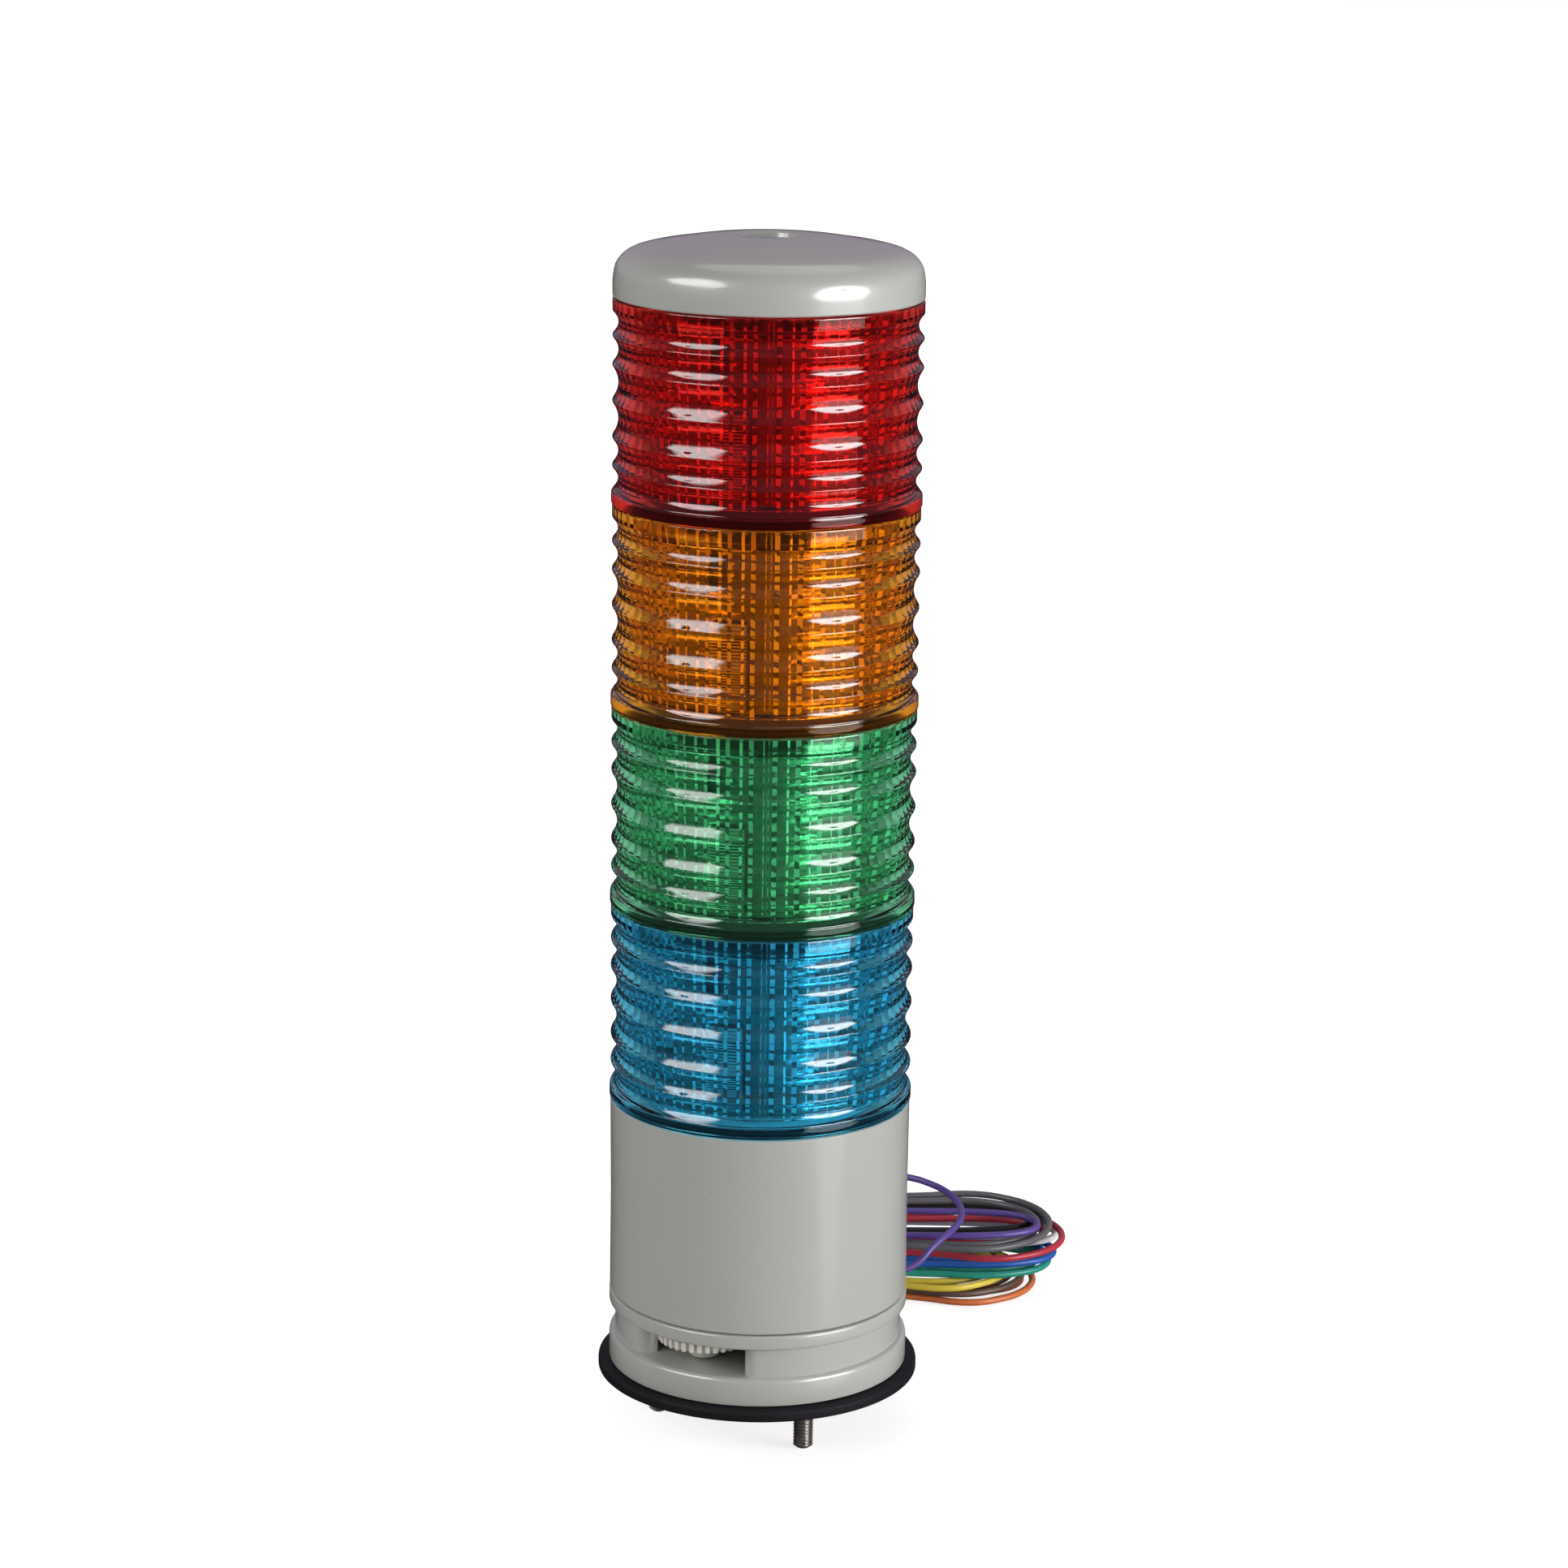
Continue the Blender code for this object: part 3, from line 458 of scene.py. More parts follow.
leadSettings = {
    "radius": 0.00075,
    "pitch": 0.0021,
    "top": 0.0117,
    "bendRadius": 0.0070,
    "layerPitch": 0.00175,
    "floorClearance": 0.0003,
    "step": 0.0045,
    "gap": 0.0003,
    "hankCentreX": 0.0180,
    "loopPoints": 24,
    "loopStraightness": 2.0,
    "flareBack": 0.0120,
    "flareLength": 0.0260,
    "loopBlendShares": (0.70, 0.94),
    "ringRise": 0.0029,
    "ringTiltShare": 0.09,
    "ringDroop": 0.0074,
    "ringEdgeY": 0.0550,
    "ringDroopLength": 0.0100,
    "ringBlendShares": (0.78, 0.98),
    "laneY": (0.0160, 0.0300, 0.0360, 0.0430),
    "climbShares": (0.0, 0.12, 0.50, 1.0),
    "turnShare": (0.25, 0.62),
    "runIn": 0.0050,
    "bareLength": 0.0060,
    "bareRadius": 0.00048,
    "bareInset": 0.0010,
    "bareBevel": 0.0001,
    "bareSides": 12,
    # of the curve: its roundness and its steps between two points
    "bevelSteps": 4,
    "curveSteps": 5,
}
# name, colour, lane, row, first loop, last loop (reach, centre y, flared, gathered), turns
leadTable = (
    ("orange", (0.75, 0.19, 0.06), 0, 0,
     (0.0428, 0.0765, 0.0183, 0.0090), (0.0402, 0.0765, 0.0110, 0.0065), 1.66),
    ("brown", (0.13, 0.08, 0.06), 1, 0,
     (0.0404, 0.0760, 0.0170, 0.0090), (0.0378, 0.0760, 0.0125, 0.0065), 1.67),
    ("yellow", (0.80, 0.62, 0.06), 2, 0,
     (0.0372, 0.0755, 0.0177, 0.0090), (0.0344, 0.0755, 0.0129, 0.0065), 1.65),
    ("green", (0.02, 0.33, 0.24), 3, 0,
     (0.0460, 0.0745, 0.0125, 0.0090), (0.0434, 0.0745, 0.0083, 0.0065), 1.66),
    ("blue", (0.02, 0.12, 0.50), 4, 0,
     (0.0472, 0.0750, 0.0107, 0.0090), (0.0446, 0.0750, 0.0078, 0.0062), 1.65),
    ("white", (0.80, 0.80, 0.80), 0, 1,
     (0.0480, 0.0815, 0.0088, 0.0088), (0.0454, 0.0815, 0.0062, 0.0062), 1.65),
    ("red", (0.55, 0.04, 0.07), 1, 1,
     (0.0490, 0.0755, 0.0184, 0.0110), (0.0450, 0.0775, 0.0090, 0.0062), 1.66),
    ("black", (0.02, 0.02, 0.02), 2, 1,
     (0.0450, 0.0805, 0.0120, 0.0110), (0.0424, 0.0805, 0.0085, 0.0080), 1.65),
    ("grey", (0.13, 0.13, 0.14), 4, 1,
     (0.0460, 0.0739, 0.0210, 0.0150), (0.0434, 0.0731, 0.0164, 0.0120), 1.65),
    ("violet", (0.12, 0.07, 0.33), 3, 1,
     (0.0430, 0.0675, 0.0085, 0.0075), (0.0263, 0.0670, 0.0205, 0.0085), 1.65),
)


def ease(value):
    value = min(1, max(0, value))
    return value * value * (3 - 2 * value)


def layerHeight(index):
    s = leadSettings
    return s["radius"] + s["floorClearance"] + index * s["layerPitch"]


def loopPoint(lead, index, angle):
    s = leadSettings
    first, last = lead[4:6]
    turnedBy = (angle + math.pi / 2) / (2 * math.pi)
    isRing = last[2] > first[2]
    start, end = s["ringBlendShares"] if isRing else s["loopBlendShares"]
    change = ease((turnedBy - start) / (end - start))
    reach, centreY, flared, gathered = (a + (b - a) * change for a, b in zip(first, last))
    stretch = s["loopStraightness"]
    straight = math.tanh(stretch * math.cos(angle)) / math.tanh(stretch)
    endRadius = gathered + (flared - gathered) * (1 + straight) / 2
    x = s["hankCentreX"] + (reach - endRadius) * straight + endRadius * math.cos(angle)
    flareEnd = s["hankCentreX"] + reach - s["flareBack"]
    flare = ease((x - flareEnd) / s["flareLength"] + 1)
    across = gathered + (flared - gathered) * flare
    y = centreY + across * math.sin(angle)
    z = layerHeight(index)
    if isRing:
        over = ease((s["ringEdgeY"] - y) / s["ringDroopLength"])
        tilt = s["ringTiltShare"] * (y - centreY)
        z += (s["ringRise"] + tilt - s["ringDroop"] * over) * change
    return Vector((x, y, z))


def coilPoints(lead, index):
    s = leadSettings
    start = loopPoint(lead, index, -math.pi / 2)
    points = [start, start + Vector((2 * s["radius"], 0, 0))]
    for i in range(1, round(lead[6] * s["loopPoints"]) + 1):
        points.append(loopPoint(lead, index, -math.pi / 2 + 2 * math.pi * i / s["loopPoints"]))
    return points


def routePoints(lead, index):
    s = leadSettings
    lane, row = lead[2:4]
    x = (lane - 2) * s["pitch"]
    y = (row - 1 / 2) * s["pitch"]
    rowZ = layerHeight(0) + row * s["pitch"]
    radius = s["bendRadius"] - row * s["pitch"]
    points = [Vector((x, y, s["top"]))]
    for share in (0.0, 0.5, 1.0):
        turn = share * math.pi / 2
        points.append(Vector((x, y + radius * (1 - math.cos(turn)),
                              rowZ + radius * (1 - math.sin(turn)))))
    layerZ = layerHeight(index)
    for laneY, climb in zip(s["laneY"], s["climbShares"]):
        points.append(Vector((x, laneY, rowZ + (layerZ - rowZ) * climb)))
    end = loopPoint(lead, index, -math.pi / 2) - Vector((s["gap"], 0, 0))
    runIn = end - Vector((s["runIn"], 0, 0))
    lastY = s["laneY"][-1]
    along, across = s["turnShare"]
    points.append(Vector((x + (runIn.x - x) * along, lastY + (runIn.y - lastY) * across,
                          layerZ)))
    return points + [runIn, end]


def smoothCurve(points, step):
    result = []
    last = len(points) - 1
    for i in range(last):
        p0 = points[i - 1] if i else points[0] * 2 - points[1]
        p1, p2 = points[i], points[i + 1]
        p3 = points[i + 2] if i + 2 <= last else p2 * 2 - p1
        chord = (p2 - p1).length
        m1 = (p2 - p0) * chord / ((p1 - p0).length + chord)
        m2 = (p3 - p1) * chord / ((p3 - p2).length + chord)
        count = max(1, round(chord / step))
        for k in range(count):
            t = k / count
            result.append(p1 * (2 * t**3 - 3 * t**2 + 1) + m1 * (t**3 - 2 * t**2 + t)
                          + p2 * (3 * t**2 - 2 * t**3) + m2 * (t**3 - t**2))
    result.append(points[last])
    return result


leadFinish = {
    "skin": {"Clouding": 0.22, "Specks": 0.35, "Roughness": 0.36, "GrainSize": 3500.0},
    "speckShade": 0.5,
    "specular": 0.34,
    "bump": 0.12,
}


# PVC insulation: satin, with handling marks and faint clouding.
def leadMaterial(name, colour):
    s = leadFinish
    material, shader = newMaterial(f"insulation_{name}")
    skin = useGroup(material, skinGroup, Colour=rgba(colour),
                    SpeckColour=rgba(colour, s["speckShade"]), **s["skin"])
    setInputs(material.node_tree, shader, {
        "Base Color": skin.outputs["Colour"], "Roughness": skin.outputs["Roughness"],
        "Specular IOR Level": s["specular"]})
    addBump(material, shader, skin.outputs["Height"], s["bump"],
            skinSettings["bumpDistance"] * mm)
    return material


def makeLeads(tipMaterial):
    s = leadSettings
    for index, lead in enumerate(leadTable):
        name, colour = lead[:2]
        route = smoothCurve(routePoints(lead, index), s["step"])
        points = route[:-1] + coilPoints(lead, index)[1:]
        curve = bpy.data.curves.new(f"cable_{name}", "CURVE")
        curve.dimensions = "3D"
        curve.bevel_depth = s["radius"]
        curve.bevel_resolution = s["bevelSteps"]
        curve.resolution_u = s["curveSteps"]
        curve.use_fill_caps = True
        spline = curve.splines.new("BEZIER")
        spline.bezier_points.add(len(points) - 1)
        for bezier, point in zip(spline.bezier_points, points):
            bezier.co = point
            bezier.handle_left_type = bezier.handle_right_type = "AUTO"
        cable = bpy.data.objects.new(f"cable_{name}", curve)
        bpy.context.collection.objects.link(cable)
        tip = makeTip(name, points[-2], points[-1], tipMaterial)
        dress(cable, leadMaterial(name, colour),
              [f"lead_{name}", f"coil_{name}"])
    print("leads laid")


# The stripped strands at a lead's end.
def makeTip(name, before, end, material):
    s = leadSettings
    along = (end - before).normalized()
    deselectAll()
    middle = end + along * (s["bareLength"] / 2 - s["bareInset"])
    bpy.ops.mesh.primitive_cylinder_add(vertices=s["bareSides"], radius=s["bareRadius"],
                                        depth=s["bareLength"], location=middle,
                                        rotation=along.to_track_quat("Z", "Y").to_euler())
    piece = bpy.context.object
    piece.name = f"tip_{name}"
    bpy.ops.object.mode_set(mode="EDIT")
    bpy.ops.mesh.bevel(offset=s["bareBevel"], segments=2, affect="EDGES")
    finishPiece(piece, 50)
    return dress(piece, material)


# Stage: pale floor, soft lamps and a white surround

stageSettings = {
    "floorSize": 9.0,
    "floorDrop": 0.0002,
    "floorColour": (0.72, 0.72, 0.72),
    "floorRoughness": 0.9,
    # how strongly the floor glows to the camera, near and far from the tower
    "floorGlow": (0.76, 1.05),
    "floorGlowReach": (0.25, 1.10),
    "floorThrough": 0.62,
    # the surround, in front of the tower and behind it
    "ambient": 0.18,
    "backEdge": (0.48, 0.64),
    "glossGlow": (0.13, 0.28),
    "throughGlow": (0.30, 0.72),
    "glossTint": (1.08, 0.88, 1.16),
    "underTint": (0.036, 0.028, 0.040),
    "horizon": (-0.02, 0.06),
    "lamps": (
        # name, azimuth from the camera, distance, height, width, height of it,
        # radiance, whether it shows in gloss or lights the matt surfaces
        ("lampLeft", -58.5, 1.25, 0.70, 1.20, 1.05, 2.65, "matt"),
        ("lampRight", 66.0, 1.25, 0.20, 1.02, 0.68, 9.8, "matt"),
        ("lampTop", 170.0, 0.55, 1.60, 1.30, 1.30, 0.35, "matt"),
        ("lampBack", 180.0, 1.40, 0.60, 1.40, 1.40, 0.80, "matt"),
        ("glossLeft", -58.5, 1.23, 0.83, 1.32, 1.16, 10.5, "gloss"),
        ("glossRight", 55.0, 1.23, 0.358, 1.14, 0.80, 19.0, "gloss"),
        ("glossLow", 55.0, 1.24, -0.11, 1.02, 0.58, 1.6, "gloss"),
        ("glossTop", 170.0, 0.54, 1.58, 1.30, 1.30, 1.05, "gloss"),
    ),
    # how softly a gloss lamp's leaf-shaped face fades to its edge, and the
    # height on it, from -1 to 1, below which it is dark
    "lampFade": 0.35,
    "lampFoot": -0.60,
    "lampAim": (0.0, 0.0, 0.14),
    # a lamp's dark middle, which shows as a spot in its highlights
    "spotSize": (0.16, 0.10),
    "spotAhead": 0.04,
    "spotSides": 24,
    "spotColour": (0.01, 0.01, 0.01),
    "spotShift": {"glossLeft": (-0.20, 0.20), "glossRight": (0.02, 0.12)},
}


def makeFloor(s):
    deselectAll()
    bpy.ops.mesh.primitive_plane_add(size=s["floorSize"], location=(0, 0, -s["floorDrop"]))
    floor = bpy.context.object
    floor.name = "floor"
    material, shader = newMaterial("paleFloor")
    tree = material.node_tree
    path = addNode(tree, "LightPath")
    setInputs(tree, shader, {"Base Color": rgba(s["floorColour"]),
                             "Roughness": s["floorRoughness"], "Specular IOR Level": 0.0})
    place = addNode(tree, "TexCoord").outputs["Object"]
    away = addNode(tree, "VectorMath", {0: place}, operation="LENGTH")
    rising = rangeNode(tree, away.outputs["Value"], s["floorGlowReach"], s["floorGlow"],
                       interpolation_type="SMOOTHSTEP")
    through = mathNode(tree, "MULTIPLY", path.outputs["Is Transmission Ray"],
                       s["floorThrough"])
    strength = addNode(tree, "Mix", {"Factor": path.outputs["Is Camera Ray"],
                                     "A": through, "B": rising})
    glow = addNode(tree, "Emission", {"Strength": strength.outputs["Result"]})
    shown = addNode(tree, "AddShader", {0: shader.outputs[0], 1: glow.outputs[0]})
    behind = addNode(tree, "NewGeometry")
    hidden = addNode(tree, "BsdfTransparent")
    unseen = mathNode(tree, "MAXIMUM", behind.outputs["Backfacing"],
                      path.outputs["Is Glossy Ray"])
    final = addNode(tree, "MixShader", {0: unseen, 1: shown.outputs[0],
                                        2: hidden.outputs[0]})
    setInputs(tree, tree.nodes["Material Output"], {"Surface": final.outputs[0]})
    floor.data.materials.append(material)


# White to the camera; in gloss and through the lenses it is dim in front of the
# tower, brighter behind it and dark below the floor.
def makeWorld(s):
    world = bpy.data.worlds.new("studio")
    bpy.context.scene.world = world
    world.use_nodes = True
    tree = world.node_tree
    direction = addNode(tree, "TexCoord").outputs["Generated"]
    split = addNode(tree, "SeparateXYZ", {0: direction})
    path = addNode(tree, "LightPath")
    frontToBack = split.outputs["Y"]
    dim = rangeNode(tree, frontToBack, s["backEdge"], s["glossGlow"])
    glossy = addNode(tree, "VectorMath", {0: s["glossTint"], "Scale": dim},
                     operation="SCALE")
    above = rangeNode(tree, split.outputs["Z"], s["horizon"])
    shine = mixNode(tree, above, rgba(s["underTint"]), glossy.outputs[0])
    level = s["ambient"]
    inGloss = mixNode(tree, path.outputs["Is Glossy Ray"], (level, level, level, 1), shine)
    through = mixNode(tree, path.outputs["Is Transmission Ray"], inGloss,
                      rangeNode(tree, frontToBack, s["backEdge"], s["throughGlow"]))
    seen = mixNode(tree, path.outputs["Is Camera Ray"], through, (1, 1, 1, 1))
    setInputs(tree, tree.nodes["Background"], {"Color": seen})


# Each softbox is a pair: one lamp lights matt surfaces and the other shows in
# gloss and through the lenses.
def makeLamps(s):
    for name, azimuth, distance, height, width, tall, radiance, kind in s["lamps"]:
        angle = math.radians(azimuth)
        place = Vector((distance * math.sin(angle), -distance * math.cos(angle), height))
        turn = (Vector(s["lampAim"]) - place).to_track_quat("-Z", "Y")
        bpy.ops.object.light_add(type="AREA", location=place, rotation=turn.to_euler())
        lamp = bpy.context.object
        lamp.name = name
        lamp.data.shape = "RECTANGLE" if name in s["spotShift"] else "ELLIPSE"
        lamp.data.size = width
        lamp.data.size_y = tall
        lamp.data.energy = radiance * math.pi * math.pi * width * tall / 4
        lamp.visible_diffuse = kind == "matt"
        lamp.visible_glossy = kind == "gloss"
        lamp.visible_transmission = kind == "gloss"
        if name in s["spotShift"]:
            fadeLamp(lamp.data, s)
            makeSpot(name, place, turn, s)


# The lamp's face glows in the shape of a leaf, softly at its edge.
def fadeLamp(light, s):
    light.use_nodes = True
    tree = light.node_tree
    face = addNode(tree, "NewGeometry").outputs["Parametric"]
    centred = addNode(tree, "VectorMath", {0: face, 1: (2, 2, 0), 2: (-1, -1, 0)},
                      operation="MULTIPLY_ADD")
    split = addNode(tree, "SeparateXYZ", {0: centred.outputs[0]})
    x, y = split.outputs["X"], split.outputs["Y"]
    reach = mathNode(tree, "SUBTRACT", 1.0, mathNode(tree, "MULTIPLY", x, x))
    inside = mathNode(tree, "SUBTRACT", reach, mathNode(tree, "ABSOLUTE", y))
    foot = mathNode(tree, "SUBTRACT", y, s["lampFoot"])
    nearest = mathNode(tree, "MINIMUM", inside, foot)
    level = rangeNode(tree, nearest, (0.0, s["lampFade"]))
    setInputs(tree, tree.nodes["Emission"], {"Strength": level})


# A small dark plate just in front of a lamp, seen only in reflections.
def makeSpot(name, place, turn, s):
    across, up = s["spotShift"][name]
    wide, tall = s["spotSize"]
    spotPlace = place + turn @ Vector((across, up, -s["spotAhead"]))
    deselectAll()
    bpy.ops.mesh.primitive_circle_add(vertices=s["spotSides"], fill_type="NGON", radius=0.5,
                                      location=spotPlace, rotation=turn.to_euler())
    spot = bpy.context.object
    spot.scale = (wide, tall, 1)
    spot.name = name + "Spot"
    material, shader = newMaterial(name + "Dark")
    shader.inputs["Base Color"].default_value = rgba(s["spotColour"])
    spot.data.materials.append(material)
    spot.visible_camera = False
    spot.visible_diffuse = False
    spot.visible_shadow = False


makeFloor(stageSettings)
makeWorld(stageSettings)
makeLamps(stageSettings)
print("stage lit")

steelFinish = {"colour": (0.68, 0.65, 0.61), "roughness": 0.22, "clouding": 0.25,
               "specks": 0.3, "bump": 0.10, "metallic": 0.93, "smear": 0.05}
steelMaterial = mouldedPlastic("zincSteel", **steelFinish)
makeLeads(steelMaterial)


# Grey base, foot and cap

plasticFinish = {"colour": (0.488, 0.493, 0.460), "roughness": 0.32, "specks": 0.22,
                 "specular": 0.36, "smear": 0.05, "coat": 0.8}
greyPlastic = mouldedPlastic("greyPlastic", **plasticFinish)

# Corners here and below are (radius, height, round) in mm, from the studs' ends up.
housingSettings = {
    "steps": 160,
    "foot": ((29.7, 28.4, 0), (30.0, 28.75, 0)),
    "rim": ((30.0, 68.05, 0), (30.0, 68.4, 0.3)),
    # the drum draws in by the waist, by these shares at these heights
    "waist": 0.12,
    "waistShares": ((38.0, 0.5), (48.4, 1.0), (58.8, 0.5)),
    "inside": ((26.65, 68.4, 0.2), (26.65, 62.4, 0), (2.3, 62.4, 0), (2.3, 59.9, 0),
               (26.8, 59.9, 0), (26.8, 37.8, 0), (28.0, 37.8, 0), (28.0, 28.4, 0)),
}


def makeHousing(s):
    radius = s["rim"][0][0]
    drum = [(radius - s["waist"] * share, z, 0) for z, share in s["waistShares"]]
    section = softSection([*s["foot"], *drum, *s["rim"], *s["inside"]])
    housing = turnPiece("housing", section, s["steps"], smoothAngle=30)
    dress(housing, greyPlastic, ["base_housing"])


makeHousing(housingSettings)

footSettings = {
    "steps": 180,
    "slotFrom": -142.4,
    "slotTo": -95.0,
    # length and depth of the rounds at the slot's two ends
    "leftRound": (3.2, 3.8),
    "rightRound": (2.4, 2.0),
    "neckRadius": 28.9,
    "roundSteps": 12,
    "slotHeights": (19.1, 25.2),
    "slotMouth": 32.5,
    # how much further in the slot is cut than its rounds go
    "slotBehind": 1.0,
    # the boss behind the slot's left end
    "bossTo": -156.0,
    "bossBack": 27.6,
    "bossHeights": (19.0, 25.3),
    "bossSteps": 8,
    "section": ((27.7, 31.3, 0.2), (27.7, 28.1, 0), (30.1, 28.1, 0.6), (30.1, 25.2, 0.5),
                (28.9, 25.2, 0), (28.9, 19.1, 0), (30.1, 19.1, 1.1), (30.1, 13.5, 0.2),
                (6.5, 13.5, 0), (6.5, 19.1, 0), (26.9, 19.1, 0), (26.9, 25.2, 0),
                (26.5, 28.1, 0), (26.5, 31.3, 0)),
}


def makeFoot(s):
    foot = turnPiece("foot", softSection(s["section"]), s["steps"], smoothAngle=35)
    inner = s["neckRadius"] - s["leftRound"][1]
    count = s["bossSteps"]
    turns = [s["slotFrom"] + (s["bossTo"] - s["slotFrom"]) * i / count
             for i in range(count + 1)]
    boss = [polar(inner * mm, turn) for turn in turns]
    boss += [polar(s["bossBack"] * mm, turn) for turn in reversed(turns)]
    low, high = s["bossHeights"]
    cutPiece(foot, outlinePiece("boss", boss, low * mm, high * mm), "UNION")
    outline = [polar((inner - s["slotBehind"]) * mm, s["slotTo"])]
    outline += slotRound(s, s["slotTo"], s["rightRound"], 1)[::-1]
    rightFlare, leftFlare = (math.degrees(s[key][0] / s["neckRadius"])
                             for key in ("rightRound", "leftRound"))
    right, left = s["slotTo"] + rightFlare, s["slotFrom"] - leftFlare
    for share in (0.0, 0.5, 1.0):
        outline.append(polar(s["slotMouth"] * mm, right + (left - right) * share))
    outline += slotRound(s, s["slotFrom"], s["leftRound"], -1)
    outline.append(polar((inner - s["slotBehind"]) * mm, s["slotFrom"]))
    low, high = s["slotHeights"]
    cutPiece(foot, outlinePiece("slot", outline, low * mm, high * mm))
    bpy.ops.object.shade_smooth_by_angle(angle=math.radians(35))
    dress(foot, greyPlastic, ["base_foot"])


# The points of a convex round from the neck's outside in to the slot's end.
def slotRound(s, end, size, side):
    length, depth = size
    flare = side * math.degrees(length / s["neckRadius"])
    points = []
    for i in range(s["roundSteps"] + 1):
        turn = i / s["roundSteps"] * math.pi / 2
        points.append(polar((s["neckRadius"] - depth * (1 - math.cos(turn))) * mm,
                            end + flare * (1 - math.sin(turn))))
    return points


makeFoot(footSettings)

capSettings = {
    "steps": 160,
    # (radius, height) down the outside, above the foot's underside
    "crown": ((5.8, 227.15), (10.0, 226.86), (15.4, 226.26), (21.0, 225.34),
              (23.8, 224.84), (26.3, 224.15), (27.45, 223.57), (28.6, 222.57),
              (29.5, 221.2), (30.0, 218.5), (30.0, 215.5)),
    "crownStep": 0.9,
    "lift": 13.5,
    "dishDepth": 1.3,
    # (radius, height above the dish's floor) of the dish
    "dish": ((4.2, 0), (5.3, 0.1), (5.65, 0.9)),
    "inside": ((29.7, 228.7), (27.65, 228.7), (27.65, 229.8), (26.35, 229.8),
               (26.35, 227.8), (24.85, 227.8), (24.85, 234.6), (22.9, 236.3),
               (7.0, 238.3), (7.0, 231.3), (2.3, 231.3), (2.3, 233.5), (4.2, 233.5)),
}


# More points on a smooth line through a section's points.
def smoothSection(points, step):
    line = smoothCurve([Vector((r, z, 0)) for r, z in points], step)
    return [(point.x, point.y) for point in line]


def makeCap(s):
    crown = [(r, z + s["lift"]) for r, z in smoothSection(s["crown"], s["crownStep"])]
    floor = crown[0][1] - s["dishDepth"]
    section = [(r, floor + z) for r, z in s["dish"]]
    section += [*crown[1:], *s["inside"]]
    cap = turnPiece("cap", [(r * mm, z * mm) for r, z in section], s["steps"])
    dress(cap, greyPlastic, ["top_cap"])


makeCap(capSettings)
print("grey pieces made")

# Foot's small parts: gasket, grommet, studs and the volume wheel

rubberFinish = {"colour": (0.008, 0.008, 0.011), "roughness": 0.66, "clouding": 0.5,
                "specks": 0.6, "bump": 0.35, "speckColour": (0.07, 0.07, 0.07),
                "specular": 0.15}
rubber = mouldedPlastic("blackRubber", **rubberFinish)

gasketSettings = {
    "steps": 160,
    "section": ((32.3, 13.2, 0.7), (32.3, 11.0, 0.35), (8.5, 11.0, 0.2), (8.5, 13.2, 0.2)),
    "holeRadius": 2.3,
    "holeFrom": 9.0,
    "holeTo": 15.0,
    "holeSides": 32,
}
grommetSettings = {
    "steps": 64,
    "bottom": 12.0,
    "top": 21.0,
    "outside": ((7.5, 21.0, 0.4), (7.5, 19.4, 0.2), (6.2, 19.4, 0), (6.2, 12.0, 0.5)),
}
studSettings = {
    "circle": 20.0,
    "anglesDeg": (-62, 58, 178),
    "names": ("front", "rear", "side"),
    "crest": 2.0,
    "root": 1.48,
    "pitch": 0.7,
    "steps": 40,
    # (radius, height) of the head and of the thread's end
    "head": ((0, 21.8), (3.2, 21.8), (3.5, 21.5), (3.5, 19.4), (2.0, 19.4), (2.0, 14.0)),
    "end": ((1.62, 0.42), (1.35, 0.12), (1.1, 0), (0, 0)),
    "threadFrom": 13.6,
    "threadTo": 0.75,
    # over one turn, from its top: share of the crest's height, and the drop
    "ridge": ((0.077, 0), (0.904, 0.28), (1.0, 0.34), (0.904, 0.40), (0.077, 0.62)),
}


def makeGasket(s):
    gasket = turnPiece("rubberGasket", softSection(s["section"]), s["steps"])
    for degrees in studSettings["anglesDeg"]:
        cutHole(gasket, s["holeRadius"], s["holeFrom"], s["holeTo"], s["holeSides"],
                polar(studSettings["circle"] * mm, degrees))
    bpy.ops.object.shade_smooth_by_angle(angle=math.radians(40))
    dress(gasket, rubber, ["gasket"])


def makeGrommet(s):
    section = [(0, s["top"] * mm), *softSection(s["outside"]), (0, s["bottom"] * mm)]
    grommet = turnPiece("cableGrommet", section, s["steps"])
    dress(grommet, rubber, ["lead_grommet"])


# One threaded stud, turned ridge by ridge, then copied round the circle.
def makeStuds(s):
    section = list(s["head"])
    z = s["threadFrom"]
    while z > s["threadTo"]:
        section += [(s["root"] + (s["crest"] - s["root"]) * share, z - drop)
                    for share, drop in s["ridge"]]
        z -= s["pitch"]
    section += s["end"]
    points = [(r * mm, h * mm) for r, h in section]
    first = turnPiece("threadedStud", points, s["steps"], closed=False, smoothAngle=24)
    for name, degrees in zip(s["names"], s["anglesDeg"]):
        x, y = polar(s["circle"] * mm, degrees)
        stud = copyPiece(first, f"stud_{name}", (x, y, 0), degrees)
        dress(stud, steelMaterial, [f"mounting_stud_{name}"])
    bpy.data.objects.remove(first)


makeGasket(gasketSettings)
makeGrommet(grommetSettings)
makeStuds(studSettings)

